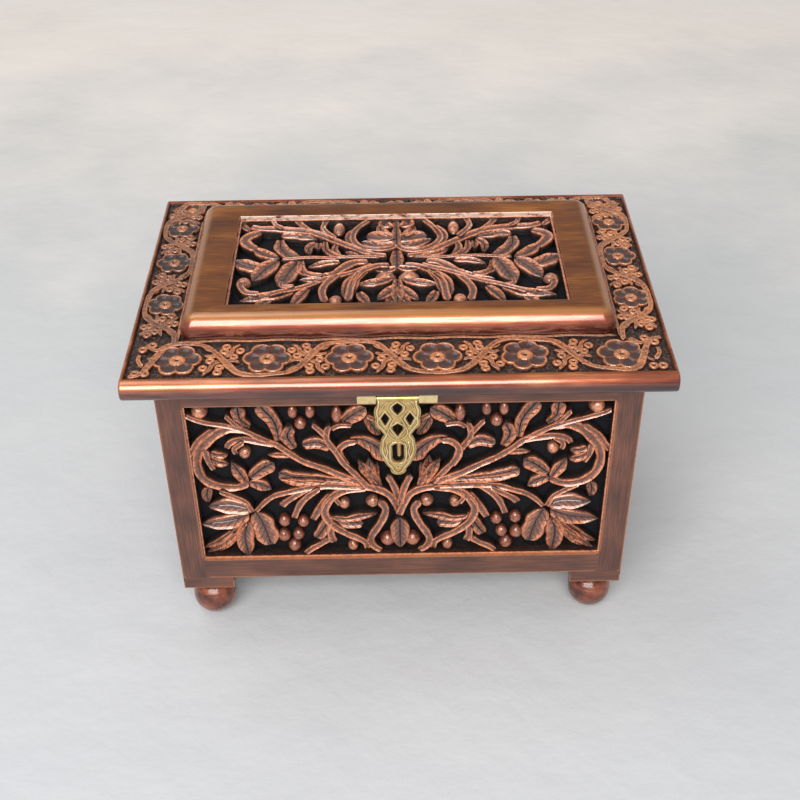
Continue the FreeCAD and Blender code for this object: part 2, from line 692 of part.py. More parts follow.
rolled = strap.newObject("PartDesign::Pad", "RolledKnuckle")
rolled.Profile = round_section("KnuckleSection", "Dims.knuckle_radius")
rolled.SideType = "Symmetric"
bind(rolled, Length="2 * Dims.strap_knuckle_half")
bored = strap.newObject("PartDesign::Pocket", "PinBore")
bored.Profile = round_section("BoreSection", BORE)
bored.SideType = "Symmetric"
bind(bored, Length="2 * Dims.hasp_half_length")
put(strap, "-Dims.hasp_shift", HASP_Y, HASP_Z)
keep(strap, "hasp_strap")

# ---------------------------------------------------------------- checks and export
doc.recompute()
for obj in doc.Objects:
    if "Invalid" in obj.State or "Error" in obj.State:
        raise SystemExit(f"{obj.Label} did not compute: {obj.State}")
for name, obj in sorted(nodes.items()):
    shape = obj.Shape
    if shape.isNull() or not shape.isValid() or not shape.Solids:
        raise SystemExit(f"{name} has no valid solid")
    shape.exportStep(f"parts/{name}.step")
print(len(nodes), "sub-parts written")
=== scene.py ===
"""Carved jewelry box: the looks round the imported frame.

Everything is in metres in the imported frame: x across the box, y from the hasp to the hinges, z up.
The carving is drawn in millimetres on each panel and cut from strips that follow its stems and leaves.
"""

import math
import random

import bpy
import numpy as np
from mathutils import Euler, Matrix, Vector


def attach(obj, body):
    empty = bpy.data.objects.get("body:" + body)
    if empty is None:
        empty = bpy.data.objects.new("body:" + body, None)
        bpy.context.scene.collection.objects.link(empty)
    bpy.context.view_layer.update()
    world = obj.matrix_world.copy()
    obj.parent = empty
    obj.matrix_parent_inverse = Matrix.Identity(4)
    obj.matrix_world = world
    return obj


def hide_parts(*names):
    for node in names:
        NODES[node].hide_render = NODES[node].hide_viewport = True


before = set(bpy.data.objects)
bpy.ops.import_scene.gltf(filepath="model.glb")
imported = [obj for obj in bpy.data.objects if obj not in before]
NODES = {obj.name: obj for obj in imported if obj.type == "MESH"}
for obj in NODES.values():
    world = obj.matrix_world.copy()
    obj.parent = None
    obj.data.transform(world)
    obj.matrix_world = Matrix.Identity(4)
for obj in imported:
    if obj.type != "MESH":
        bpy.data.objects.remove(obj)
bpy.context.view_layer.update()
MM = 0.001

# ---------------------------------------------------------------- camera
lens = bpy.data.cameras.new("camera")
lens.lens = 56.33
lens.sensor_width = 36.0
camera = bpy.data.objects.new("camera", lens)
bpy.context.scene.collection.objects.link(camera)
camera.location = (-0.00211, -0.64209, 0.6080)
camera.rotation_euler = Euler((0.9113121, 0.0109460, -0.0127362), "XYZ")
bpy.context.scene.camera = camera


# ---------------------------------------------------------------- materials
def linear(code, alpha=1.0):
    """An sRGB hex colour as linear values."""
    parts = [int(code[i : i + 2], 16) / 255 for i in (1, 3, 5)]
    return tuple(c / 12.92 if c <= 0.04045 else ((c + 0.055) / 1.055) ** 2.4 for c in parts) + (alpha,)


def add(tree, kind, settings=None, **inputs):
    """Adds a node with its settings; an input is a value, or the output socket of another node."""
    made = tree.nodes.new(kind)
    for key, value in (settings or {}).items():
        setattr(made, key, value)
    for key, value in inputs.items():
        socket = made.inputs[int(key[1:]) if key[0] == "i" and key[1:].isdigit() else key.replace("_", " ")]
        if isinstance(value, bpy.types.NodeSocket):
            tree.links.new(value, socket)
        else:
            socket.default_value = value
    return made


def new_material(name, **values):
    """A material whose shader already has these constant values. Gives it, its tree and its shader."""
    made = bpy.data.materials.new(name)
    made.use_nodes = True
    shader = made.node_tree.nodes["Principled BSDF"]
    for key, value in values.items():
        shader.inputs[key.replace("_", " ")].default_value = value
    return made, made.node_tree, shader


def ramp(tree, fac, *stops):
    """A colour ramp with stops of (position, hex colour)."""
    made = add(tree, "ShaderNodeValToRGB", Fac=fac)
    points = made.color_ramp.elements
    while len(points) < len(stops):
        points.new(0.5)
    for point, (place, colour) in zip(points, stops):
        point.position = place
        point.color = linear(colour) if isinstance(colour, str) else (colour, colour, colour, 1)
    return made.outputs["Color"]


def noise(tree, size_mm, stretch=(1, 1, 1), detail=3.0, rough=0.55):
    """Noise on Object coordinates whose features are size_mm across, longer where stretch is above 1."""
    place = add(tree, "ShaderNodeTexCoord").outputs["Object"]
    turned = add(tree, "ShaderNodeMapping", Vector=place, Scale=tuple(1 / s for s in stretch))
    made = add(tree, "ShaderNodeTexNoise", Vector=turned.outputs[0], Scale=1 / (size_mm * MM), Detail=detail,
               Roughness=rough)
    return made.outputs["Fac"]


def maths(tree, what, a, b=0.0, c=0.0, clamp=False):
    """One sum on values or sockets, held between 0 and 1 where clamp is set."""
    return add(tree, "ShaderNodeMath", {"operation": what, "use_clamp": clamp}, i0=a, i1=b, i2=c).outputs[0]


def axis_of(tree, space, axis):
    """One axis of the Object or Normal coordinates."""
    place = add(tree, "ShaderNodeTexCoord").outputs[space]
    return add(tree, "ShaderNodeSeparateXYZ", i0=place).outputs[axis]


def blend(tree, amount, first, second):
    """The first colour where amount is 0, and the second where it is 1."""
    return add(tree, "ShaderNodeMix", {"data_type": "RGBA"}, i0=amount, i6=first, i7=second).outputs[2]


def arris(tree, radius_mm, gain=6.0):
    """1 on edges within radius_mm, where the dry brush catches, and 0 on flats."""
    soft = add(tree, "ShaderNodeBevel", {"samples": 4}, Radius=radius_mm * MM).outputs[0]
    flat = add(tree, "ShaderNodeNewGeometry").outputs["Normal"]
    dot = add(tree, "ShaderNodeVectorMath", {"operation": "DOT_PRODUCT"}, i0=soft, i1=flat).outputs["Value"]
    away = maths(tree, "SUBTRACT", 1.0, dot)
    return maths(tree, "MULTIPLY", away, gain, clamp=True)


def finish_bump(tree, shader, height, distance_mm, strength=1.0):
    """Small relief in the finish, distance_mm high where height is 1."""
    made = add(tree, "ShaderNodeBump", Height=height, Distance=distance_mm * MM, Strength=strength)
    tree.links.new(made.outputs[0], shader.inputs["Normal"])


VEIN_GAP = 4.5


def carved_wood(name, hollow, low, mid, high, rough=(0.3, 0.5)):
    """Carved hardwood under dark lacquer, its ridges dry-brushed with copper: bright rims, brown dishes.
    Leaves have oblique veins cut with a small gouge, VEIN_GAP millimetres apart."""
    made, tree, shader = new_material(name, Coat_Weight=1.0, Coat_Roughness=0.12, Coat_IOR=1.6,
                                      Specular_IOR_Level=0.5, Metallic=0.15)
    rim = add(tree, "ShaderNodeAttribute", {"attribute_name": "rim"}).outputs["Fac"]
    laid = add(tree, "ShaderNodeAttribute", {"attribute_name": "lay"}).outputs["Vector"]
    lay = add(tree, "ShaderNodeSeparateXYZ", i0=laid)
    slant = maths(tree, "MULTIPLY_ADD", maths(tree, "ABSOLUTE", lay.outputs["Y"]), -1.3, lay.outputs["X"])
    turn = maths(tree, "SUBTRACT", maths(tree, "FRACT", maths(tree, "DIVIDE", slant, VEIN_GAP)), 0.5)
    line = ramp(tree, maths(tree, "ABSOLUTE", turn), (0.03, 1.0), (0.15, 0.0))
    vein = maths(tree, "MULTIPLY", line, lay.outputs["Z"])
    patch = noise(tree, 8.0, detail=4.0)
    speck = noise(tree, 1.7, detail=3.0, rough=0.75)
    spread = maths(tree, "MULTIPLY_ADD", patch, 0.8, maths(tree, "MULTIPLY_ADD", speck, 1.7, -1.25))
    held = maths(tree, "ADD", rim, 0.08, clamp=True)
    wear = maths(tree, "MULTIPLY", maths(tree, "SUBTRACT", spread, maths(tree, "MULTIPLY", vein, 0.4)), held)
    level = maths(tree, "ADD", rim, wear, clamp=True)
    colour = ramp(tree, level, (0.0, hollow), (0.32, low), (0.62, mid), (0.98, high))
    tree.links.new(colour, shader.inputs["Base Color"])
    gloss = ramp(tree, level, (0.0, 0.62), (0.5, rough[1]), (1.0, rough[0]))
    tree.links.new(gloss, shader.inputs["Roughness"])
    facets = maths(tree, "MULTIPLY_ADD", noise(tree, 3.6, detail=1.0), 1.6, noise(tree, 1.4, detail=3.0))
    finish_bump(tree, shader, maths(tree, "MULTIPLY_ADD", vein, -0.6, facets), 0.7, 1.0)
    return made


def seams_off(tree, kind):
    """1 where a frame member has a real arris, and 0 near its glued joints with its neighbours."""
    place = add(tree, "ShaderNodeSeparateXYZ", i0=add(tree, "ShaderNodeTexCoord").outputs["Object"])
    x, y, z = (place.outputs[k] for k in "XYZ")
    if kind == "post":
        inside = maths(tree, "MULTIPLY", maths(tree, "GREATER_THAN", z, 58 * MM),
                       maths(tree, "LESS_THAN", z, 175 * MM))
        outer = maths(tree, "MULTIPLY", maths(tree, "GREATER_THAN", maths(tree, "ABSOLUTE", x), 135 * MM),
                      maths(tree, "GREATER_THAN", maths(tree, "ABSOLUTE", y), 87 * MM))
        return maths(tree, "MAXIMUM", inside, outer)
    if kind == "rail_x":
        return maths(tree, "LESS_THAN", maths(tree, "ABSOLUTE", x), 120.5 * MM)
    if kind == "rail_y":
        return maths(tree, "LESS_THAN", maths(tree, "ABSOLUTE", y), 72.5 * MM)
    return maths(tree, "LESS_THAN", z, 38 * MM)


def frame_wood(name, along, kind, dark="#38231c", mid="#57352a", light="#784a37", copper_for_arrises_and_top_light="#bd7a52"):
    """Flat boards under satin lacquer, copper glaze brushed along the grain, brighter on their arrises; faces
    that look up get the same copper as painted light.
    """
    made, tree, shader = new_material(name, Coat_Weight=0.5, Coat_Roughness=0.22, Specular_IOR_Level=0.4)
    fine = tuple(22 if k == along else 1 for k in "xyz")
    broad = tuple(2 if k == along else 1 for k in "xyz")
    grain = noise(tree, 0.9, fine, 4.0, 0.6)
    cloud = noise(tree, 16.0, broad, 3.0)
    both = maths(tree, "MULTIPLY_ADD", grain, 0.55, maths(tree, "MULTIPLY", cloud, 0.45))
    real = maths(tree, "MULTIPLY", arris(tree, 1.8, 5.0), seams_off(tree, kind))
    up = axis_of(tree, "Normal", "Z")
    # Painted light: faces that look up are painted with the copper, as if lit from above.
    painted_top_light = maths(tree, "MULTIPLY", ramp(tree, up, (0.8, 0.0), (0.95, 1.0)), 0.95)
    patchy = maths(tree, "ADD", noise(tree, 2.4), 0.3)
    arris_wear_and_painted_top_light = maths(tree, "MULTIPLY", maths(tree, "MAXIMUM", real, painted_top_light), patchy)
    base = ramp(tree, both, (0.32, dark), (0.5, mid), (0.7, light))
    tree.links.new(blend(tree, arris_wear_and_painted_top_light, base, linear(copper_for_arrises_and_top_light)), shader.inputs["Base Color"])
    tree.links.new(ramp(tree, grain, (0.3, 0.52), (0.7, 0.34)), shader.inputs["Roughness"])
    finish_bump(tree, shader, grain, 0.1, 0.6)
    return made


def moulding_wood(name, start, full, gold):
    """Raised moulding: golden-brown glaze on the flat, copper where it turns over, then a dark wine-red gloss
    painted where it faces sideways and down, as painted shade.
    start and full are the upward leans where the flat's golden brown begins and is whole. gold is how
    strongly a painted golden highlight shows on the shoulder where the surface turns over."""
    made, tree, shader = new_material(name, Coat_Roughness=0.14, Coat_IOR=1.7, Specular_IOR_Level=0.35)
    up = axis_of(tree, "Normal", "Z")
    flat = ramp(tree, up, (start, 0.0), (full, 1.0))
    # low: painted shade, 1 where the surface faces sideways or down, gone where it turns up.
    low = ramp(tree, up, (0.0, 1.0), (0.45, 0.0))
    tree.links.new(ramp(tree, up, (0.9, 1.0), (0.99, 0.25)), shader.inputs["Coat Weight"])
    tree.links.new(ramp(tree, up, (0.88, 0.6), (0.995, 0.15)), shader.inputs["Metallic"])
    grain = noise(tree, 1.2, (14, 1, 1), 4.0, 0.6)
    cloud = noise(tree, 18.0, (3, 1, 1), 3.0)
    both = maths(tree, "MULTIPLY_ADD", grain, 0.4, maths(tree, "MULTIPLY", cloud, 0.6))
    top = ramp(tree, both, (0.36, "#4a240c"), (0.52, "#744014"), (0.68, "#a46527"))
    side = ramp(tree, both, (0.34, "#6b2a18"), (0.5, "#a34e31"), (0.68, "#d98a5c"))
    under = ramp(tree, both, (0.34, "#240c09"), (0.5, "#4e2018"), (0.68, "#7a4232"))
    side_with_painted_shade_below = blend(tree, low, side, under)
    # lit: a painted golden highlight on the shoulder where the roll turns over; gold sets its strength.
    lit = ramp(tree, up, (0.62, 0.0), (0.86, gold), (0.99, 0.0))
    rolled = blend(tree, flat, side_with_painted_shade_below, top)
    with_painted_golden_glow = blend(tree, lit, rolled, linear("#cf8d4c"))
    # Pale patches painted on the front-facing wall at the back of the window.
    from_wall = maths(tree, "SUBTRACT", axis_of(tree, "Object", "Y"), 55 * MM)
    near_wall = maths(tree, "LESS_THAN", maths(tree, "ABSOLUTE", from_wall), 5 * MM)
    faces_front = maths(tree, "LESS_THAN", axis_of(tree, "Normal", "Y"), -0.8)
    back_wall = maths(tree, "MULTIPLY", near_wall, faces_front)
    patches = ramp(tree, noise(tree, 2.6, (2, 1, 1)), (0.34, 0.0), (0.5, 1.0))
    rubbed = maths(tree, "MULTIPLY", back_wall, patches)
    tree.links.new(blend(tree, rubbed, with_painted_golden_glow, linear("#e8cfc0")), shader.inputs["Base Color"])
    tree.links.new(ramp(tree, grain, (0.3, 0.42), (0.7, 0.28)), shader.inputs["Roughness"])
    finish_bump(tree, shader, both, 0.12, 0.5)
    return made


def turned_wood(name):
    """Turned ball feet: red-brown lacquer with the lathe's fine rings."""
    made, tree, shader = new_material(name, Coat_Weight=0.8, Coat_Roughness=0.1, Specular_IOR_Level=0.4)
    place = add(tree, "ShaderNodeTexCoord").outputs["Object"]
    rings = add(tree, "ShaderNodeTexWave", {"wave_type": "BANDS", "bands_direction": "Z"}, Vector=place,
                Scale=1 / (2.0 * math.pi * 2.2 * MM) * 2, Distortion=0.4, Detail=1.0).outputs["Fac"]
    blotch = noise(tree, 6.0, (1.5, 1.5, 1), 3.0)
    tree.links.new(ramp(tree, blotch, (0.35, "#401a12"), (0.5, "#6d3422"), (0.68, "#955233")),
                   shader.inputs["Base Color"])
    tree.links.new(ramp(tree, blotch, (0.3, 0.26), (0.7, 0.4)), shader.inputs["Roughness"])
    finish_bump(tree, shader, rings, 0.35, 0.5)
    return made


def stamped_brass(name, base, dark, rough):
    """Pressed brass fittings, pale gold, tarnished a little in patches and rubbed bright."""
    made, tree, shader = new_material(name, Metallic=1.0)
    patch = noise(tree, 5.0, detail=4.0)
    tree.links.new(ramp(tree, patch, (0.3, dark), (0.55, base), (0.8, base)), shader.inputs["Base Color"])
    tree.links.new(ramp(tree, patch, (0.3, rough + 0.14), (0.7, rough)), shader.inputs["Roughness"])
    finish_bump(tree, shader, noise(tree, 1.4, detail=3.0), 0.1, 0.6)
    return made


def matt_board(name, dark, light, rough, grit_mm):
    """Thin board or flocking, matt, with its own small grit."""
    made, tree, shader = new_material(name, Roughness=rough, Specular_IOR_Level=0.25)
    grit = noise(tree, grit_mm, detail=4.0, rough=0.7)
    tree.links.new(ramp(tree, grit, (0.35, dark), (0.65, light)), shader.inputs["Base Color"])
    finish_bump(tree, shader, grit, 0.2, 0.7)
    return made


def velvet(name):
    """Flocked velvet facing, wine red, with a soft pile that pales at grazing angles."""
    made, tree, shader = new_material(name, Roughness=0.95, Specular_IOR_Level=0.1, Sheen_Weight=0.7,
                                      Sheen_Roughness=0.4, Sheen_Tint=linear("#c9828c"))
    pile = noise(tree, 0.9, detail=3.0, rough=0.7)
    sweep = noise(tree, 30.0, detail=2.0)
    both = maths(tree, "MULTIPLY_ADD", pile, 0.4, maths(tree, "MULTIPLY", sweep, 0.6))
    tree.links.new(ramp(tree, both, (0.35, "#3a0a12"), (0.65, "#64141f")), shader.inputs["Base Color"])
    finish_bump(tree, shader, pile, 0.3, 0.6)
    return made


def punched_ground(name):
    """Sunk ground of the border, dark and pricked all over with a punch."""
    made, tree, shader = new_material(name, Coat_Weight=0.25, Coat_Roughness=0.3, Specular_IOR_Level=0.4)
    place = add(tree, "ShaderNodeTexCoord").outputs["Object"]
    cells = add(tree, "ShaderNodeTexVoronoi", {"feature": "F1"}, Vector=place, Scale=1 / (1.3 * MM))
    pricks = cells.outputs["Distance"]
    tree.links.new(ramp(tree, pricks, (0.1, "#0d0807"), (0.5, "#291914"), (0.85, "#5c443a")),
                   shader.inputs["Base Color"])
    tree.links.new(ramp(tree, pricks, (0.2, 0.7), (0.8, 0.35)), shader.inputs["Roughness"])
    finish_bump(tree, shader, pricks, 0.6, 0.8)
    return made


CARVED = carved_wood("carved_hardwood_copper_rims", "#0c0706", "#533126", "#7f4d39", "#dd8e67")
BORDER = carved_wood("border_relief_copper_rims", "#1f0b08", "#4e241a", "#7c472e", "#cc8351")
# A darker copy of the border's copper for the lid's left side: painted shade.
BORDER_LEFT_PAINTED_SHADE = carved_wood("border_relief_painted_shade_left", "#160806", "#3a1d14", "#613826", "#a96c44")
BERRY = carved_wood("berries_rubbed_bright", "#1c0e0b", "#4e271b", "#77402d", "#ab6749", (0.16, 0.26))
POST = frame_wood("brushed_lacquer_posts", "z", "post")
RAIL_X = frame_wood("brushed_lacquer_long_rails", "x", "rail_x")
RAIL_Y = frame_wood("brushed_lacquer_side_rails", "y", "rail_y")
BLOCK = frame_wood("brushed_lacquer_foot_blocks", "x", "block")
MOULDING = moulding_wood("moulding_golden_copper_glaze", 0.6, 0.9, 0.75)
LIP = moulding_wood("lip_red_copper_glaze", 0.96, 0.998, 0.2)
FEET = turned_wood("turned_feet_red_brown_lacquer")
BRASS = stamped_brass("pressed_brass", "#dcbd80", "#bf9d62", 0.3)
CHASED = stamped_brass("brass_raised_lines", "#f4dca6", "#dcc084", 0.24)
TARNISH = stamped_brass("brass_tarnish_in_the_lines", "#96774a", "#75593a", 0.42)
BRASS_WORN = stamped_brass("brass_pins_and_screws", "#c4a663", "#7d6234", 0.32)
BACKING = matt_board("stained_black_board", "#08080b", "#16161d", 0.75, 1.2)
PLY = matt_board("raw_dark_board", "#2c1c14", "#4a3122", 0.7, 2.0)
VELVET = velvet("flocked_velvet_wine")
GROUND = punched_ground("punched_dark_ground")


# ---------------------------------------------------------------- carving by strips
# A strip's section, from the middle of its back round to the middle again: place across (of the half width),
# height class and how much copper it catches. Heights: 0 back, 1 foot of the rim, then drops below the crest.
HALF_ACROSS = [0, 0.97, 1.0, 1.0, 0.93, 0.8, 0.64, 0.45, 0.22, 0.1]
ACROSS = [-a for a in HALF_ACROSS] + [0] + HALF_ACROSS[::-1]
AROUND = len(ACROSS) - 1
RIM = {
    "stem": [0, 0, 0, 0.1, 0.8, 1.0, 0.95, 0.66, 0.48, 0.42, 0.4],
    "leaf": [0, 0, 0, 0.1, 0.8, 1.0, 0.9, 0.6, 0.5, 0.38, 0.12],
    "twig": [0, 0, 0, 0.1, 0.7, 1.0, 0.95, 0.8, 0.75, 0.75, 0.75],
    "wire": [1.0] * 11,
}
DROP = {
    "stem": [0, 0, 0, 1.3, 0.35, 0, 0.25, 0.55, 0.75, 0.85, 0.9],
    "leaf": [0, 0, 0, 1.3, 0.35, 0, 0.6, 0.95, 0.95, 1.0, 1.5],
    "twig": [0, 0, 0, 1.3, 0.3, 0, 0.0, 0.1, 0.2, 0.2, 0.2],
    "wire": [0, 0, 0, 0.2, 0.08, 0, 0, 0, 0, 0, 0],
}


def places(mesh):
    """The places of the mesh's vertices, as rows of x, y and z."""
    co = np.zeros(len(mesh.vertices) * 3)
    mesh.vertices.foreach_get("co", co)
    return co.reshape(-1, 3)


def move_to(mesh, *columns):
    """Moves the mesh's vertices to these columns of x, y and z."""
    mesh.vertices.foreach_set("co", np.column_stack(columns).ravel())


def paint_rim(mesh, values):
    """Stores how much copper each vertex catches, which the materials read."""
    paint = mesh.attributes.new("rim", "FLOAT", "POINT")
    paint.data.foreach_set("value", values.astype(np.float32))


def only_material(piece, material):
    """Gives the piece this material and no other."""
    piece.data.materials.clear()
    piece.data.materials.append(material)


def smooth_line(points, step):
    """Evenly spaced points on a smooth line through these ones, with the directions there."""
    p = np.array(points, float)
    if len(p) == 2:
        p = np.array([p[0], p.mean(0), p[1]])
    ends = np.vstack([2 * p[0] - p[1], p, 2 * p[-1] - p[-2]])
    dense = []
    for a, b, c, d in zip(ends, ends[1:], ends[2:], ends[3:]):
        t = np.linspace(0, 1, 24, endpoint=False)[:, None]
        curve = 2 * b + (c - a) * t + (2 * a - 5 * b + 4 * c - d) * t**2
        dense.append(0.5 * (curve + (3 * b - a - 3 * c + d) * t**3))
    dense = np.vstack(dense + [p[-1:]])
    run = np.r_[0, np.cumsum(np.linalg.norm(np.diff(dense, axis=0), axis=1))]
    count = max(6, int(round(run[-1] / step)))
    s = np.linspace(0, run[-1], count + 1)
    line = np.column_stack([np.interp(s, run, dense[:, k]) for k in (0, 1)])
    ahead = np.gradient(line, axis=0)
    ahead /= np.linalg.norm(ahead, axis=1)[:, None] + 1e-9
    return line, ahead, s


def strip(kind, widths, points, top, back, step=1.3, shape=None):
    """One carved strip as a bent grid: a stem with rounded ends, or a leaf that comes to a point.
    Its place is (across, up, depth) on the panel, in millimetres; top and back are depths below the face."""
    line, ahead, s = smooth_line(points, step)
    length = s[-1]
    widths = widths if isinstance(widths, tuple) else (widths,)
    w = np.interp(s, np.linspace(0, length, len(widths)), widths)
    shape = shape or kind
    if shape == "leaf":
        w = w * np.interp(s / length, [0, 0.25, 0.5, 1], [0.55, 0.92, 1.0, 1.0])
    start = np.clip(s / (0.5 * w[0] + 0.01), 0, 1)
    close = 0.5 * length if shape == "leaf" else 0.5 * w[-1] + 0.01
    finish = np.clip((length - s) / close, 0, 1)
    ends = np.sqrt(1 - (1 - start) ** 2)
    ends = ends * (np.sin(finish * math.pi / 2) ** 0.8 if shape == "leaf" else np.sqrt(1 - (1 - finish) ** 2))
    w = w * (1 + 0.06 * np.sin(0.55 * s + points[0][1]))
    half = 0.5 * w * ends
    bpy.ops.mesh.primitive_grid_add(x_subdivisions=AROUND, y_subdivisions=len(s) - 1, size=2)
    made = bpy.context.object
    mesh = made.data
    co = places(mesh)
    k = np.rint((co[:, 0] + 1) / 2 * AROUND).astype(int)
    n = np.rint((co[:, 1] + 1) / 2 * (len(s) - 1)).astype(int)
    fold = np.minimum(k, AROUND - k)
    across = np.array(ACROSS)[k] * half[n]
    side = np.column_stack([-ahead[n, 1], ahead[n, 0]])
    flat = line[n] + side * across[:, None]
    fine = np.clip(w[n] / 5.0, 0.35, 1.3)
    crest = top + (0 if kind == "wire" else 0.35) * np.sin(s[n] * 0.19 + points[0][0])
    foot = crest + DROP[kind][3]
    drop = np.array(DROP[kind])[fold] * fine
    depth = np.where(fold >= 3, foot + (crest + drop - foot) * np.sqrt(ends[n]), 0)
    depth = np.where(fold == 2, 0.5 * (foot + back), depth)
    depth = np.where(fold <= 1, back, depth)
    move_to(mesh, flat, depth)
    paint_rim(mesh, np.array(RIM[kind])[fold] * (0.35 + 0.65 * ends[n]))
    if kind == "leaf" and w.max() > 5.5:
        lay = mesh.attributes.new("lay", "FLOAT_VECTOR", "POINT")
        inner = np.where(fold >= 6, 1.0, 0.0)
        lay.data.foreach_set("vector", np.column_stack([s[n], across, inner]).ravel().astype(np.float32))
    return made


def dome(x, y, rx, ry, top, back, turn=0.0, tip=0.25, segments=18, rings=10):
    """A berry or bud: a ball pressed onto the panel, drawn to a soft point. turn is in degrees from up."""
    bpy.ops.mesh.primitive_uv_sphere_add(segments=segments, ring_count=rings, radius=1)
    made = bpy.context.object
    mesh = made.data
    co = places(mesh)
    up = np.clip(co[:, 1], 0, 1)
    wide = co[:, 0] * rx * (1 - tip * up**2)
    tall = co[:, 1] * ry * (1 + 0.6 * tip * up)
    a = math.radians(turn)
    depth = top + (back - top) * (1 - co[:, 2]) / 2
    crown = top + (1 - co[:, 2]) * min(rx, ry) * 0.9
    depth = np.where(co[:, 2] > 0, crown, np.maximum(depth, top + min(rx, ry) * 0.9))
    move_to(mesh, x + wide * math.cos(a) - tall * math.sin(a),
            y + wide * math.sin(a) + tall * math.cos(a), depth)
    paint_rim(mesh, np.clip(0.4 + 0.45 * co[:, 2], 0, 0.85))
    return made


def ring(x, y, radius, wire, top):
    """A drilled berry or a flower's button: a turned ring with a hole."""
    bpy.ops.mesh.primitive_torus_add(major_segments=16, minor_segments=8, major_radius=radius,
                                     minor_radius=wire)
    made = bpy.context.object
    mesh = made.data
    co = places(mesh)
    move_to(mesh, x + co[:, 0], y + co[:, 1], top + wire - co[:, 2])
    paint_rim(mesh, np.clip(0.5 + 0.5 * co[:, 2] / wire, 0, 1))
    return made


def join_up(name, parts, place, material, body, replaced=()):
    """Joins strips into one piece and moves it from the panel's plane to its place on the box."""
    bpy.ops.object.select_all(action="DESELECT")
    for part in parts:
        part.select_set(True)
    bpy.context.view_layer.objects.active = parts[0]
    bpy.ops.object.join()
    made = bpy.context.object
    made.name = made.data.name = name
    move_to(made.data, np.column_stack(place(*places(made.data).T)) * MM)
    made.data.update()
    bpy.ops.object.mode_set(mode="EDIT")
    bpy.ops.mesh.select_all(action="SELECT")
    bpy.ops.mesh.remove_doubles(threshold=0.00001)
    bpy.ops.mesh.dissolve_degenerate(threshold=0.00001)
    bpy.ops.mesh.normals_make_consistent(inside=False)
    bpy.ops.object.mode_set(mode="OBJECT")
    bpy.ops.object.shade_smooth_by_angle(angle=math.radians(50))
    only_material(made, material)
    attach(made, body)
    if replaced:
        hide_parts(*replaced)
    return made


def flipped(x_middle, drawn):
    """The same strip or bud on the other half of the panel."""
    kind, size, points, *rest = drawn
    turned = [(2 * x_middle - x, y) for x, y in points]
    return (kind, size, turned, *[-v if isinstance(v, (int, float)) else v for v in rest])


LIFTS = (0.0, 0.7, 0.3, 1.0, 0.5)


def carve(drawn, top, back, limits, step=1.3):
    """Cuts every drawn strip and bud of a panel. Strips that cross lie at slightly different depths."""
    x0, x1, y0, y1 = limits
    parts, berries = [], []
    for i, (kind, size, points, *rest) in enumerate(drawn):
        points = [(min(max(x, x0), x1), min(max(y, y0), y1)) for x, y in points]
        sunk = top + LIFTS[i % len(LIFTS)] + (0.4 if kind == "leaf" else 0)
        if kind == "berry":
            berries.append(dome(*points[0], size[0], size[1], top + 0.2, back, *(rest or (0.0,))))
        elif kind == "bud":
            parts.append(dome(*points[0], size[0], size[1], top + 0.4, back, *(rest or (0.0,))))
        else:
            parts.append(strip(kind, size, points, sunk, back, step, *(rest or ())))
    return parts, berries


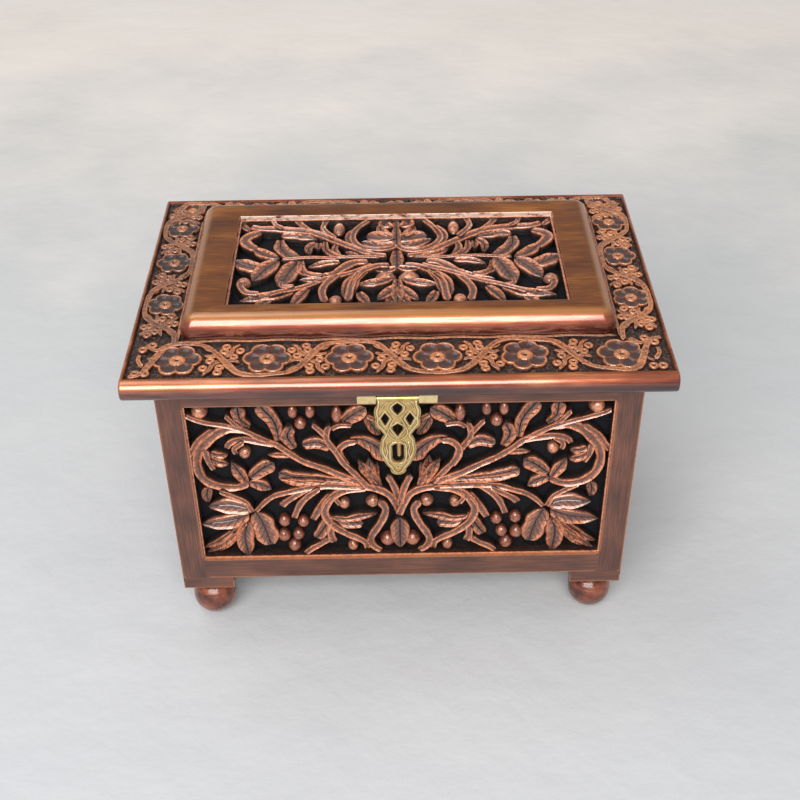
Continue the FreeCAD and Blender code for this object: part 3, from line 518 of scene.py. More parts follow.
# ---------------------------------------------------------------- the front panel, left half
# Each entry: kind, width or widths, points as (x, height), and for some the shape or the turn. All in mm.
FRONT_HALF = [
    ("stem", 4, [(-14, 110), (-20, 113), (-26, 121), (-33, 131), (-37, 139), (-42, 148), (-42, 155),
                 (-40, 159)]),
    ("stem", (5.5, 4.5, 4, 3.5, 3), [(-22, 114), (-32, 119), (-45, 126), (-56, 132), (-65, 139), (-72, 145),
                                     (-80, 150), (-88, 155.5), (-98, 159), (-108, 161.5), (-117, 165),
                                     (-122, 168)]),
    ("bud", (5, 5), [(-114, 168)], 30.0),
    ("leaf", 4, [(-64, 136), (-70, 136.5), (-78, 136)]),
    ("leaf", (5, 6, 9, 9), [(-28, 116), (-45, 117.5), (-60, 118.5), (-72, 123)], "stem"),
    ("leaf", (5, 6), [(-44, 116), (-58, 115.5), (-72, 119)]),
    ("stem", (4.5, 5, 4, 3), [(-22, 111.5), (-40, 112.5), (-52, 111.5), (-62, 110), (-70, 107.5), (-76, 105),
                              (-82, 100), (-88, 93)]),
    ("stem", 5, [(0, 89), (-5, 102), (-10, 108), (-16, 111), (-22, 112)]),
    ("stem", (5, 6.5, 6, 6, 5), [(-88, 156), (-98, 156.5), (-106, 153), (-112, 147), (-117, 140), (-119, 130),
                                 (-117, 121), (-111, 115), (-103, 112), (-96, 112.5), (-90, 116)]),
    ("stem", 4, [(-107, 157), (-115, 150), (-120, 143), (-124, 137)]),
    ("stem", (4.5, 3), [(-113, 143), (-112, 134), (-109, 127)]),
    ("leaf", 6, [(-111, 139), (-106, 137), (-100, 138)]),
    ("leaf", 6, [(-111, 135), (-106, 132), (-100, 131)]),
    ("stem", (4, 4.5, 4), [(-72, 145), (-80, 147), (-90, 149), (-98, 146.5), (-101, 142)]),
    ("stem", (3.5, 3), [(-90, 148), (-96, 143), (-95, 138)]),
    ("bud", (4.5, 3.6), [(-90.5, 138)], 80.0),
    ("leaf", (6, 11, 10), [(-89, 119), (-82, 125), (-74, 130)], "stem"),
    ("leaf", 8, [(-91, 116), (-95, 124), (-99, 132)]),
    ("leaf", 8.5, [(-90, 116), (-84, 114), (-77, 109)]),
    ("stem", (3, 4, 5), [(-55, 110), (-62, 106), (-69, 101), (-72, 97)]),
    ("stem", (3.5, 4.5, 4), [(-48, 111), (-55, 106), (-60, 100), (-63, 93), (-65, 87)]),
    ("stem", (3.5, 5, 5), [(-42, 106), (-47, 99), (-51, 91), (-54, 85)]),
    ("stem", (4, 6, 5, 4), [(-20, 111), (-32, 109), (-40, 105), (-45, 98), (-46, 91), (-44, 84), (-40, 79),
                            (-33, 74), (-27, 70.5), (-22, 66), (-21, 60)]),
    ("stem", 3, [(-36, 108), (-39, 102), (-36, 97)]),
    ("bud", (4, 3.5), [(-34, 97)], 90.0),
    ("bud", (4.5, 4), [(-17, 98)], 90.0),
    ("stem", (5, 5, 4.5), [(-13, 100), (-9.5, 94), (-10, 88), (-13, 81), (-17, 74), (-19, 68), (-17, 62),
                           (-12, 58)]),
    ("leaf", (5, 6), [(-42, 87), (-34, 85.5), (-26, 87.5), (-14, 89)]),
    ("leaf", (5, 8, 8), [(-42, 84), (-34, 81.5), (-23, 81)], "stem"),
    ("bud", (3.5, 4), [(-30, 62)]),
    ("leaf", (6, 8.5, 8), [(-44, 90), (-46, 80), (-52, 70)], "stem"),
    ("stem", 5, [(-43, 78), (-43, 71), (-41, 66)]),
    ("stem", 4, [(-44, 70), (-50, 65), (-56, 61), (-60, 57.5)]),
    ("berry", (5, 5), [(-8.5, 66)]),
    ("berry", (4, 4.4), [(-71, 83.5)]),
    ("berry", (3.8, 4.2), [(-59.5, 82.5)]),
    ("berry", (4.2, 4.6), [(-72, 71)]),
    ("berry", (3.8, 4.2), [(-63, 72)]),
    ("berry", (4.3, 4.6), [(-66, 62.5)]),
    ("berry", (3, 4.6), [(-61, 168)]),
    ("berry", (3, 4.6), [(-51, 168)]),
    ("berry", (3.8, 4.0), [(-57, 159)]),
    ("leaf", 13, [(-90, 94), (-100, 97), (-116, 97)]),
    ("leaf", 12, [(-92, 89), (-105, 84), (-122, 81)]),
    ("leaf", 6, [(-94, 84), (-106, 70), (-121, 58)]),
    ("leaf", 5, [(-103, 78), (-112, 69), (-122, 63)]),
    ("leaf", 6, [(-98, 76), (-107, 67), (-114, 59)]),
    ("leaf", 12, [(-93, 84), (-96, 72), (-95, 55)]),
    ("leaf", (9, 15, 15, 13), [(-88, 91), (-84, 79), (-80.5, 64)], "stem"),
    ("leaf", 7, [(-114, 113), (-116, 106), (-115, 100)]),
    ("stem", 3.5, [(-108, 111), (-100, 106), (-93, 101), (-89, 93)]),
    ("leaf", (5, 10), [(-86, 157), (-91, 163), (-92, 173)], "stem"),
    ("stem", 3, [(-92, 158), (-99, 168)]),
    ("leaf", (5, 9, 11), [(-70, 147), (-72, 160), (-80, 174)], "stem"),
    ("leaf", (5, 8, 7.5), [(-61, 141), (-65, 150), (-62, 158)], "stem"),
    ("stem", 3.5, [(-42, 150), (-46, 156), (-50, 161)]),
    ("leaf", (6, 8.5, 8), [(-40, 141), (-48, 145.5), (-57, 143)], "stem"),
    ("berry", (3.4, 6), [(-36, 165)]),
    ("leaf", (5, 11, 10), [(-35, 157), (-28, 164), (-19, 170)], "stem"),
    ("stem", 3, [(-40, 156), (-35, 159), (-27, 158.5)]),
    ("stem", 3.5, [(-19, 166), (-12, 162)]),
    ("leaf", 7, [(-19, 164), (-15, 155), (-11, 150)]),
    ("stem", (5, 5, 4.5, 4), [(-31, 128), (-35, 135), (-35.5, 141), (-31, 146), (-25, 147)]),
    ("leaf", (3.5, 6, 9.5, 12.5, 13), [(-33, 144.5), (-25, 147), (-17, 143), (-11, 137.5), (-6, 132)],
     "stem"),
    ("leaf", (7, 8), [(-12, 111), (-18, 120), (-25, 132)]),
    ("leaf", (7, 8), [(-12, 111), (-17, 120), (-18.5, 134)]),
    ("leaf", (5, 6), [(-12, 112), (-15, 119), (-13.5, 129)]),
    ("stem", 4.5, [(-7.5, 121), (-3.5, 110), (-1, 98)]),
]
FRONT_MIDDLE = [
    ("leaf", 12.5, [(-0.8, 85), (-0.8, 74), (-0.8, 60)]),
]

# ---------------------------------------------------------------- the lid's panel, left half, as (x, y)
LID_HALF = [
    ("stem", (4, 4.5, 4.5), [(-17, 55), (-22, 48), (-26, 40), (-27, 32), (-24, 25), (-18, 20), (-10, 18.5),
                             (-3, 21), (0, 26)]),
    ("leaf", 4.5, [(-24, 47), (-29, 40), (-30, 32), (-26, 25)]),
    ("stem", (4, 5, 6, 7, 5), [(-6, 12), (-14, 14), (-22, 18), (-30, 24), (-38, 31), (-46, 37), (-55, 41.5),
                               (-65, 44.5), (-75, 46), (-85, 46), (-92, 49)]),
    ("leaf", 6, [(-15, 13), (-24, 14.5), (-32, 20)]),
    ("stem", (6, 8, 7), [(-84, 42), (-91, 38), (-94, 33), (-91, 27), (-86, 22)]),
    ("leaf", 9, [(-87, 23), (-80, 16), (-71, 10)]),
    ("leaf", (9, 11), [(-72, 34), (-71, 24), (-65, 16), (-56, 10)]),
    ("leaf", 8, [(-72, 38), (-60, 37), (-49, 34)]),
    ("leaf", 6, [(-49, 31), (-54, 25), (-53, 16)]),
    ("leaf", 5, [(-48, 30), (-48, 21)]),
    ("leaf", 5, [(-44, 30), (-43, 20), (-36, 12), (-27, 10)]),
    ("leaf", 5, [(-37, 28), (-38, 20), (-33, 12)]),
    ("stem", 2.6, [(-10, 10), (-40, 10.5), (-70, 9.5)]),
    ("leaf", 6, [(-34, 6.5), (-44, 5.5), (-54, 2)]),
    ("stem", (5, 7, 6), [(-17, 6), (-25, 5), (-32, -1), (-37, -7)]),
    ("leaf", 6, [(-36, -5), (-40, -9), (-46, -9)]),
    ("stem", 4, [(-14, 2), (-22, -3), (-32, -8), (-40, -12), (-50, -18), (-58, -22), (-68, -26), (-76, -30)]),
    ("stem", 5, [(-4, 1), (-12, 0), (-20, -5), (-25, -12), (-27, -20), (-28, -30), (-29, -37)]),
    ("leaf", 5, [(-22, -6), (-29, -15), (-31, -25), (-29, -36)]),
    ("leaf", 4.5, [(-17, -3), (-23, -12), (-25, -22), (-26, -31)]),
    ("stem", 5, [(-35, -9), (-41, -18), (-44, -27), (-42, -38)]),
    ("bud", (5, 4), [(-36, -34)], 90.0),
    ("leaf", 6.5, [(-23, -27), (-20, -34), (-16, -42)]),
    ("leaf", 7.5, [(-52, -22), (-57, -30), (-62, -41)]),
    ("leaf", 5.5, [(-42, -13), (-50, -14), (-58, -13)]),
    ("leaf", 5, [(-44, -9), (-51, -8), (-57, -3)]),
    ("leaf", 13, [(-82, 0), (-90, 5), (-99, 10)]),
    ("leaf", 13, [(-72, 9), (-80, -2), (-86, -13)]),
    ("leaf", 14, [(-60, 9), (-65, -4), (-70, -19)]),
    ("leaf", 6, [(-58, 8), (-57, -2), (-51, -10)]),
    ("stem", 3, [(-68, -15), (-68, -21), (-60, -21.5)]),
    ("leaf", 9, [(-61, -24), (-70, -29), (-80, -31), (-92, -34)]),
    ("stem", 4.5, [(-80, -28), (-88, -27), (-92, -21), (-92, -15)]),
    ("bud", (5, 4.5), [(-91, -13)]),
    ("leaf", 7, [(-73, -32), (-78, -37), (-82, -44)]),
    ("leaf", (9, 13, 13), [(-1, 33), (-8, 35), (-19, 36)], "stem"),
    ("leaf", 9, [(-1, 27), (-10, 25), (-22, 31)]),
    ("leaf", 7, [(-4, 36), (-9, 42), (-11, 50)]),
    ("leaf", 8, [(-2, 48), (-8, 52), (-3, 58)]),
    ("bud", (7, 6), [(-7, -9)]),
    ("leaf", 8, [(-3, -13), (-12, -18), (-24, -19)]),
    ("leaf", 6, [(0, -1), (-7, -3), (-14, -2)]),
    ("leaf", 8, [(0, -21), (-6, -28), (-12, -36)]),
    ("leaf", 6, [(0, -26), (-4, -34), (-7, -43)]),
    ("stem", 4.5, [(-63, 58), (-59, 50), (-54, 43), (-50, 39)]),
    ("stem", 3.5, [(-78, 58), (-76, 50), (-71, 46)]),
    ("stem", 4, [(-44, 58), (-46, 48), (-44, 42), (-38, 33)]),
    ("bud", (4, 7.5), [(-36, 48)]),
    ("leaf", 5, [(-92, 46), (-96, 51), (-99, 56)]),
]
LID_MIDDLE = [
    ("leaf", 9, [(0, 21), (0, 10), (0, -4)]),
    ("leaf", 7, [(0, 26), (0, 38), (0, 50)]),
    ("leaf", 8, [(0, -14), (0, -28), (0, -44)]),
    ("leaf", 5, [(0, 46), (0, 52), (0, 58)]),
]


def margin(x0, x1, y0, y1):
    """The narrow uncut margin of a fretwork panel, a flat frame as deep as the panel."""
    bpy.ops.mesh.primitive_grid_add(x_subdivisions=4, y_subdivisions=5, size=2)
    made = bpy.context.object
    co = places(made.data)
    k, n = np.rint((co[:, 0] + 1) * 2).astype(int) % 4, np.rint((co[:, 1] + 1) * 2.5).astype(int)
    inset = np.array([0, 0, 0.9, 1.0, 1.0, 0])[n]
    depth = np.array([6.9, 0, 0, 0.5, 6.9, 6.9])[n]
    cx, cy = np.array([x0, x1, x1, x0])[k], np.array([y0, y0, y1, y1])[k]
    move_to(made.data, cx - np.sign(cx - 0.5 * (x0 + x1)) * inset, cy - np.sign(cy - 0.5 * (y0 + y1)) * inset,
            depth)
    paint_rim(made.data, np.array([0, 1.0, 0.9, 0.1, 0, 0])[n])
    return made


# How deep the strips' backs lie below the face, and how far the drawing may run under the margin, in mm.
CARVING_BACK = 6.7
OVERRUN = 1.5


def panel(name, half, middle, x_middle, opening, place, body, node):
    """A whole fretwork panel from its drawn left half, with its berries as a brighter piece."""
    drawn = half + [flipped(x_middle, d) for d in half] + middle
    x0, x1, y0, y1 = opening
    parts, berries = carve(
        drawn, 0.0, CARVING_BACK, (x0 - OVERRUN, x1 + OVERRUN, y0 - OVERRUN, y1 + OVERRUN))
    parts.append(margin(*opening))
    join_up(name, parts, place, CARVED, body, (node,))
    if berries:
        join_up(name + "_berries", berries, place, BERRY, body)


FRONT_FACE, SIDE_FACE, LID_FACE = -86.9, 135.0, 213.0
# The case's carving is this many times deeper than drawn, and the front's middle is a little left.
CASE_RELIEF = 1.3
FRONT_SHIFT = -0.8
FRONT_REACH, SIDE_REACH, PANEL_LOW, PANEL_HIGH = 122.4, 74.3, 56.2, 176.2
panel("fret_carving_front", FRONT_HALF, FRONT_MIDDLE, FRONT_SHIFT,
      (-FRONT_REACH, FRONT_REACH, PANEL_LOW, PANEL_HIGH),
      lambda a, b, d: (a, FRONT_FACE + CASE_RELIEF * d, b), "case", "fret_panel_front")
panel("fret_carving_lid", LID_HALF, LID_MIDDLE, 0.0, (-98.4, 98.4, -44.9, 55.7),
      lambda a, b, d: (a, b, LID_FACE - d), "lid", "lid_fret_panel")
SQUEEZE = SIDE_REACH / FRONT_REACH
SIDE_HALF = [(k, s, [(x * SQUEEZE, y) for x, y in p], *r) for k, s, p, *r in FRONT_HALF]
SIDE_MIDDLE = [(k, s, [(x - FRONT_SHIFT, y) for x, y in p], *r) for k, s, p, *r in FRONT_MIDDLE]
for side, sign in (("left", -1), ("right", 1)):
    panel(f"fret_carving_{side}", SIDE_HALF, SIDE_MIDDLE, 0.0,
          (-SIDE_REACH, SIDE_REACH, PANEL_LOW, PANEL_HIGH),
          lambda a, b, d, sign=sign: (sign * (SIDE_FACE - CASE_RELIEF * d), sign * a, b), "case",
          f"fret_panel_{side}")

# ---------------------------------------------------------------- the lid board with its sunk border
bpy.ops.object.select_all(action="DESELECT")
LID_HALF_X, LID_HALF_Y, LID_LOW, LID_TOP = 152.5, 103.0, 191.0, 202.5
bpy.ops.mesh.primitive_cube_add(size=1)
board = bpy.context.object
co = np.array([(v.co.x * 2 * LID_HALF_X, v.co.y * 2 * LID_HALF_Y,
                LID_LOW + (v.co.z + 0.5) * (LID_TOP - LID_LOW)) for v in board.data.vertices]) * MM
board.data.vertices.foreach_set("co", co.ravel())


def only(mesh, faces=(), edges=()):
    """Selects these faces and edges and nothing else."""
    for group in (mesh.vertices, mesh.edges, mesh.polygons):
        group.foreach_set("select", [False] * len(group))
    for f in faces:
        mesh.polygons[f].select = True
    for e in edges:
        mesh.edges[e].select = True


def edit(*steps):
    """Runs these steps in Edit Mode."""
    bpy.ops.object.mode_set(mode="EDIT")
    for step in steps:
        step()
    bpy.ops.object.mode_set(mode="OBJECT")


def edges_at(mesh, axis, where, z=None):
    """The edges whose ends lie at this place on the axis, and at this height if one is given, in mm."""
    return [e.index for e in mesh.edges
            if all(abs(mesh.vertices[i].co[axis] - where * MM) < 1e-5 for i in e.vertices)
            and (z is None or all(abs(mesh.vertices[i].co.z - z * MM) < 1e-5 for i in e.vertices))]


bpy.context.tool_settings.mesh_select_mode = (False, True, False)
for y, z, radius, steps in ((-LID_HALF_Y, LID_TOP, 5.6, 6), (-LID_HALF_Y, LID_LOW, 3.4, 4),
                            (LID_HALF_Y, LID_TOP, 1.6, 2), (LID_HALF_Y, LID_LOW, 1.6, 2)):
    only(board.data, edges=edges_at(board.data, 1, y, z))
    edit(lambda: bpy.ops.mesh.bevel(offset=radius * MM, segments=steps, profile=0.5))
for x in (-LID_HALF_X, LID_HALF_X):
    only(board.data, edges=edges_at(board.data, 0, x))
    edit(lambda: bpy.ops.mesh.bevel(offset=1.4 * MM, segments=3, profile=0.5))
bpy.context.tool_settings.mesh_select_mode = (False, False, True)
top_face = max(board.data.polygons, key=lambda f: (f.center.z, f.area)).index
only(board.data, faces=[top_face])
GROUND_DEPTH = 2.3
edit(lambda: bpy.ops.mesh.inset(thickness=0.6 * MM, depth=0),
     lambda: bpy.ops.mesh.inset(thickness=0.4 * MM, depth=-0.5 * GROUND_DEPTH * MM),
     lambda: bpy.ops.mesh.inset(thickness=0.4 * MM, depth=-0.5 * GROUND_DEPTH * MM))
board.name = board.data.name = "lid_board_carved"
only_material(board, LIP)
board.data.materials.append(GROUND)
GROUND_HALF_X, GROUND_FRONT, GROUND_REAR = 150.2, -96.5, 100.5
for f in board.data.polygons:
    below = f.center.z < (LID_TOP - 0.3) * MM and f.normal.z > -0.5
    within = abs(f.center.x) < GROUND_HALF_X * MM and GROUND_FRONT * MM < f.center.y < GROUND_REAR * MM
    f.material_index = 1 if below and within else 0
bpy.ops.object.shade_smooth_by_angle(angle=math.radians(40))
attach(board, "lid")
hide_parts("lid_board")

# ---------------------------------------------------------------- raised moulding round the lid's panel
CORNER_STEPS = 8
MOULD_OUT, MOULD_IN = (-124.0, 124.0, -60.3, 77.8), (-98.4, 98.4, -44.9, 55.7)
MOULD_LOW, MOULD_TOP = 202.5, 216.0


def rounded_loop(x0, x1, y0, y1, r):
    """Points round a rectangle with rounded corners, the same number whatever the radius."""
    points = []
    for cx, cy, start in ((x1 - r, y1 - r, 0), (x0 + r, y1 - r, 90),
                          (x0 + r, y0 + r, 180), (x1 - r, y0 + r, 270)):
        for i in range(CORNER_STEPS + 1):
            a = math.radians(start + 90 * i / CORNER_STEPS)
            points.append((cx + r * math.cos(a), cy + r * math.sin(a)))
    return points


ROLL_WIDE, ROLL_HIGH = 9.5, 12.0
MOULD_CORNER = 7.0
loops = [(MOULD_OUT, 0.0, MOULD_LOW, MOULD_CORNER)]
for i in range(10):
    a = math.radians(9 * i + 4.5)
    loops.append((MOULD_OUT, ROLL_WIDE * (1 - math.cos(a)), MOULD_TOP - ROLL_HIGH * (1 - math.sin(a)),
                  MOULD_CORNER))
loops.append((MOULD_OUT, ROLL_WIDE + 1.0, MOULD_TOP, MOULD_CORNER))
loops += [(MOULD_IN, -1.0, MOULD_TOP, 0.5), (MOULD_IN, -0.3, MOULD_TOP - 0.2, 0.5),
          (MOULD_IN, 0.0, MOULD_TOP - 0.9, 0.4), (MOULD_IN, 0.0, MOULD_LOW, 0.4)]
around = 4 * (CORNER_STEPS + 1)
bpy.ops.mesh.primitive_grid_add(x_subdivisions=around, y_subdivisions=len(loops), size=2)
moulding = bpy.context.object
co = places(moulding.data)
k = np.rint((co[:, 0] + 1) / 2 * around).astype(int) % around
n = np.rint((co[:, 1] + 1) / 2 * len(loops)).astype(int) % len(loops)
table = np.array([[(*q, z) for q in rounded_loop(b[0] + inset, b[1] - inset, b[2] + inset, b[3] - inset,
                                                 max(r - 0.4 * inset, 0.4))] for b, inset, z, r in loops])
move_to(moulding.data, table[n, k] * MM)
moulding.data.update()
bpy.ops.object.mode_set(mode="EDIT")
bpy.ops.mesh.select_all(action="SELECT")
bpy.ops.mesh.remove_doubles(threshold=0.00001)
bpy.ops.mesh.normals_make_consistent(inside=False)
bpy.ops.object.mode_set(mode="OBJECT")
bpy.ops.object.shade_smooth_by_angle(angle=math.radians(35))
moulding.name = moulding.data.name = "lid_raised_moulding"
only_material(moulding, MOULDING)
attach(moulding, "lid")
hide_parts("lid_moulding_front", "lid_moulding_back", "lid_moulding_left", "lid_moulding_right")

# ---------------------------------------------------------------- border relief
PETALS = 6
TWIG_BACK = GROUND_DEPTH + 0.3
random.seed(11)


def flower(x, y, radius, turn):
    """A six-lobed flower: a raised scalloped rim, scooped dark petals inside it and a drilled button."""
    rows, around = 11, 72
    bpy.ops.mesh.primitive_grid_add(x_subdivisions=around, y_subdivisions=rows, size=2)
    made = bpy.context.object
    co = places(made.data)
    a = (co[:, 0] + 1) * math.pi
    n = np.rint((co[:, 1] + 1) / 2 * rows).astype(int)
    lobe = math.pi / PETALS
    off = np.abs((a % (2 * lobe)) - lobe)
    reach = radius * (0.58 * np.cos(off) + np.sqrt(np.clip(0.42**2 - (0.58 * np.sin(off)) ** 2, 0, 1)))
    r = np.array([0, 0.97, 1.0, 0.985, 0.95, 0.90, 0.86, 0.78, 0.6, 0.42, 0.3, 0])[n] * reach
    depth = np.array([2.6, 2.6, 2.0, 0.5, 0.0, 0.1, 0.6, 1.2, 1.5, 1.2, 0.9, 0.9])[n]
    depth -= np.where((n >= 6) & (n <= 9), 0.8 * (off / lobe) ** 3, 0)
    a = a + math.radians(turn)
    move_to(made.data, x + r * np.cos(a), y + r * np.sin(a), depth)
    rim = np.array([0, 0, 0.1, 0.75, 1.0, 0.95, 0.45, 0.1, 0.12, 0.15, 0.1, 0.1])[n]
    rim = rim + np.where((n >= 7) & (n <= 9), 0.35 * (off / lobe) ** 3, 0)
    paint_rim(made.data, rim)
    return [made, ring(x, y, 0.21 * radius, 0.155 * radius, -0.3)]


def pocket(x, y, wide, lean):
    """What fills the gap between two flowers, each side of the vine: twigs and clusters of drilled berries.
    wide is half the border's width; lean is 1 where the vine falls to the right and -1 where it rises."""
    def at(*points):
        return [(x + lean * px, y + py * wide / 16) for px, py in points]
    twigs = [
        ((4.2, 2.6, 1.8), at((1, 2), (4.5, 6), (6, 11), (10, 15))),
        ((3.6, 1.6), at((2, -3), (6, -1.5), (10.5, -3.5))),
        ((4.2, 2.6, 1.8), at((-1, 0), (-5, -4.5), (-6, -10), (-9.5, -15))),
        ((3.6, 1.6), at((-3, 4), (-7, 3), (-11, 5))),
        ((3.6, 1.8), at((3, -8), (8, -10), (12, -15))),
        ((3.6, 1.8), at((-5, 9), (-9, 10.5), (-12, 15))),
    ]
    parts = [strip("twig", w, p, 0.1 + 0.2 * (i % 3), TWIG_BACK) for i, (w, p) in enumerate(twigs)]
    for px, py in ((1.5, 12.5), (9.5, 8.5), (6.2, 2.6), (-1.5, -12.5),
                   (-9.8, -8.5), (-6.6, -1.2), (0.5, 8.2), (-0.8, -7.8)):
        bx, by = at((px, py))[0]
        parts.append(ring(bx, by, 1.8, 1.1, -0.1))
    return parts


def vine(crests, y, wide, first):
    """The vine that winds over one flower and under the next, from one end of the border to the other."""
    points, side = [], first
    for a, b in zip(crests, crests[1:]):
        points += [(a, y + side * wide), (a + 0.28 * (b - a), y + side * wide * 0.86)]
        points += [(a + 0.42 * (b - a), y + side * wide * 0.4), (a + 0.58 * (b - a), y - side * wide * 0.4),
                   (a + 0.72 * (b - a), y - side * wide * 0.86)]
        side = -side
    points.append((crests[-1], y + side * wide))
    return strip("twig", (2.8, 4.9) * (len(crests) - 1) + (2.8,), points, 0.0, TWIG_BACK, 1.4)


def border_run(flowers, y, wide, radius, ends):
    """One side of the border: its flowers, the vine and the pockets between."""
    parts = []
    for x in flowers:
        parts += flower(x, y + random.uniform(-0.6, 0.6), radius, random.uniform(0, 60))
    stops = (ends[0], *flowers, ends[1])
    parts.append(vine(stops, y, wide, -1))
    for i, (a, b) in enumerate(zip(stops, stops[1:])):
        if b - a > 28:
            parts += pocket(0.5 * (a + b), y, wide, 1 if i % 2 else -1)
    return parts


FRONT_Y, BACK_Y, SIDE_X = -79.0, 89.8, 137.4
border = border_run((-123, -73, -27.5, 21.5, 70, 123.5), FRONT_Y, 15.2, 14.2, (-149, 149))
for sign in (-1, 1):
    for w, path in (((4.0, 2.0), ((127.5, -64), (134, -70), (141.5, -63.5))),
                    ((3.4, 1.8), ((140, -85), (143, -79), (142.5, -73))),
                    ((3.0, 1.6), ((137.5, -75.5), (135, -82), (139.5, -87)))):
        border.append(strip("twig", w, [(sign * (a + 1.5), b) for a, b in path], 0.2, TWIG_BACK))
    for a, b in ((142, -91), (136.8, -91), (141, -68.5), (136, -64.5)):
        border.append(ring(sign * (a + 2.5), b, 1.9, 1.1, -0.1))
FILLET_WIDE, FILLET_STEP = 1.9, 6
for x in (-125.2, 125.2):
    border.append(strip("twig", FILLET_WIDE, [(x, -61.5), (x, 8), (x, 79)], 0.1, TWIG_BACK, FILLET_STEP))
for y in (-61.6, 79.0):
    border.append(strip("twig", FILLET_WIDE, [(-126, y), (0, y), (126, y)], 0.0, TWIG_BACK, FILLET_STEP))


def lid_place(a, b, d):
    """From the border's plane to the lid: across, back and depth below the lid's top."""
    return a, b, LID_TOP - d


join_up("lid_border_relief_front", border, lid_place, BORDER, "lid")


def turned(parts, sign):
    """The same parts run along the side of the lid instead of the front."""
    for part in parts:
        co = places(part.data)
        move_to(part.data, sign * co[:, 1], co[:, 0], co[:, 2])
    return parts


for side, sign in (("left", -1), ("right", 1)):
    parts = border_run((-23, 24, 66), SIDE_X, 11.0, 11.6, (-66, 97))
    # The left side takes the darker copy of the border's copper, as painted shade.
    finish = BORDER_LEFT_PAINTED_SHADE if side == "left" else BORDER
    join_up(f"lid_border_relief_{side}", turned(parts, sign), lid_place, finish, "lid")
parts = border_run((-134, -90, -45, 0, 45, 90, 134), BACK_Y, 9.2, 8.8, (-149, 149))
join_up("lid_border_relief_back", parts, lid_place, BORDER, "lid")

# ---------------------------------------------------------------- raised lines on the hasp strap
STRAP_HALF = [(10.3, -1.6), (10.5, -5), (11.6, -9.4), (10.9, -13.8), (11.2, -17.6), (8.6, -21.4),
              (6.4, -25.8), (8.2, -29.4), (8.4, -32.4), (8.9, -36.8), (7.6, -41.6), (5.9, -46.2),
              (3.4, -50.0), (2.2, -52.6), (0, -54)]
STRAP_LINES = [
    (0.9, STRAP_HALF),
    (0.8, [(0, -2), (3.6, -5.4), (3.3, -8.2), (0, -12.4)]),
    (0.8, [(6.95, -8.6), (9.9, -13.4), (9.4, -15.4), (6.95, -19.6), (4.3, -15.4), (4.0, -13.4),
           (6.95, -8.6)]),
    (0.8, [(0, -16.6), (3.6, -19.4), (3.9, -21.4), (0, -28.2)]),
    (0.9, [(0, -31.0), (3.2, -31.9), (4.5, -34.4), (4.5, -43), (3.0, -46.2), (0, -47.3)]),
    (0.6, [(1.0, -13.4), (2.6, -15.4), (4.6, -20.4), (5.6, -24.6), (3.4, -28.0), (1.0, -29.6)]),
    (0.6, [(6.0, -31.0), (6.6, -34.6), (5.8, -38.0), (6.6, -41.6), (4.8, -45.8)]),
    (0.6, [(5.4, -3.0), (7.6, -4.6), (8.6, -7.4)]), (0.6, [(1.4, -49.0), (0.2, -50.6), (2.0, -50.8)]),
]
STRAP_X, STRAP_FACE, STRAP_Z = -1.3, -98.15, 187.3
for name, wider, raised, finish in (("chasing", 0.15, -0.3, CHASED), ("tarnish", 1.0, -0.06, TARNISH)):
    lines = [strip("wire", wide + wider, [(sign * x, z) for x, z in points], raised, 0.3, 0.7)
             for wide, points in STRAP_LINES for sign in (-1, 1)]
    join_up(f"hasp_strap_{name}", lines, lambda a, b, d: (STRAP_X + a, STRAP_FACE + d, STRAP_Z + b),
            finish, "hasp")

# ---------------------------------------------------------------- the hasp leaf's folded ends
FOLD_Y, FOLD_THICK, FOLD_Z, FOLD_HIGH = -99.4, 0.9, 187.8, 5.2
for side, x0, x1 in (("left", -23.4, -13.1), ("right", 10.5, 20.8)):
    bpy.ops.object.select_all(action="DESELECT")
    bpy.ops.mesh.primitive_cube_add(size=1)
    fold = bpy.context.object
    fold.name = fold.data.name = f"hasp_leaf_fold_{side}"
    for v in fold.data.vertices:
        v.co = Vector((x0 + (v.co.x + 0.5) * (x1 - x0), FOLD_Y + FOLD_THICK * v.co.y,
                       FOLD_Z + FOLD_HIGH * v.co.z)) * MM
    edit(lambda: bpy.ops.mesh.select_all(action="SELECT"),
         lambda: bpy.ops.mesh.bevel(offset=0.25 * MM, segments=2, profile=0.5))
    fold.data.materials.append(CHASED)
    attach(fold, "lid")

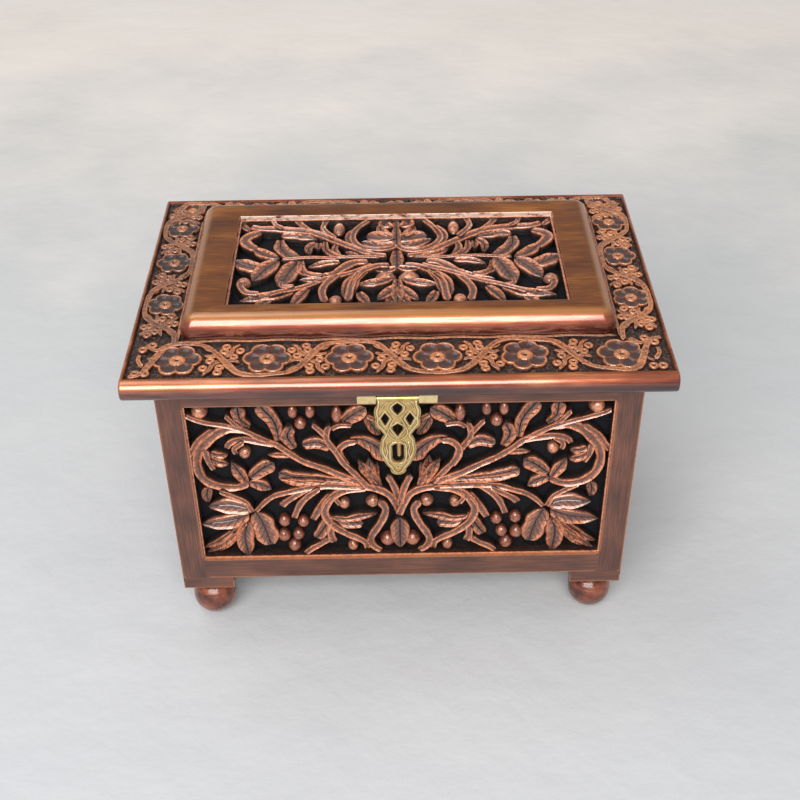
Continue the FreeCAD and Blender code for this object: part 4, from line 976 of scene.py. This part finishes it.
# ---------------------------------------------------------------- CAD nodes that keep their shape
FINISHES = [
    ("corner_post", POST), ("top_rail_front", RAIL_X), ("top_rail_back", RAIL_X), ("top_rail", RAIL_Y),
    ("bottom_rail_front", RAIL_X), ("bottom_rail_back", RAIL_X), ("bottom_rail", RAIL_Y),
    ("back_panel", RAIL_X), ("foot_block", BLOCK), ("foot_", FEET), ("floor_board", PLY),
    ("floor_lining", VELVET), ("lid_lining", VELVET), ("liner_", BACKING), ("lid_fret_backing", BACKING),
    ("lid_moulding", MOULDING), ("hasp_pin", BRASS_WORN), ("hasp_screws", BRASS_WORN),
    ("hinge_pin", BRASS_WORN), ("hinge_screws", BRASS_WORN), ("hasp_", BRASS), ("hinge_", BRASS),
]
for name, node in NODES.items():
    if node.hide_render:
        continue
    finish = next(m for start, m in FINISHES if name.startswith(start))
    only_material(node, finish)

# ---------------------------------------------------------------- floor and light
bpy.ops.object.select_all(action="DESELECT")
bpy.ops.mesh.primitive_plane_add(size=40, location=(0, 2.0, -0.0005))
floor = bpy.context.object
floor.name = "floor"
cloth, tree, shader = new_material("pale_backdrop_cloth", Roughness=0.85, Specular_IOR_Level=0.2)
mottle = noise(tree, 160.0, detail=5.0)
# Painted light: the cloth is painted paler further back, where a wash of light falls, with its own mottle
# over it.
painted_light_further_back = maths(tree, "MULTIPLY_ADD", axis_of(tree, "Object", "Y"), 0.45, 0.9)
pale = ramp(tree, maths(tree, "MULTIPLY_ADD", mottle, 0.3, painted_light_further_back),
            (0.05, "#c3c7cc"), (0.3, "#cfd2d4"), (0.55, "#f9f4ee"), (0.75, "#fffdf9"))
tree.links.new(pale, shader.inputs["Base Color"])
finish_bump(tree, shader, noise(tree, 60.0, detail=5.0), 4.0, 0.6)
floor.data.materials.append(cloth)


def area_light(name, place, aim, size, power, colour):
    """A rectangular window of light at place, facing aim."""
    lamp = bpy.data.lights.new(name, "AREA")
    lamp.shape = "RECTANGLE"
    lamp.size, lamp.size_y = size
    lamp.energy = power
    lamp.color = linear(colour)[:3]
    made = bpy.data.objects.new(name, lamp)
    bpy.context.scene.collection.objects.link(made)
    made.location = place
    made.rotation_euler = (Vector(aim) - Vector(place)).to_track_quat("-Z", "Y").to_euler()


area_light("window_behind_camera", (-0.25, -1.45, 1.25), (0, 0, 0.1), (1.7, 0.9), 42, "#fffaf5")
area_light("window_above", (-0.6, 0.3, 1.9), (0, 0, 0.1), (1.4, 1.2), 8, "#f4f8ff")
world = bpy.data.worlds.new("world")
bpy.context.scene.world = world
world.use_nodes = True
world.node_tree.nodes["Background"].inputs["Color"].default_value = linear("#ebe8e5")
world.node_tree.nodes["Background"].inputs["Strength"].default_value = 0.5
bpy.context.scene.view_settings.view_transform = "Standard"
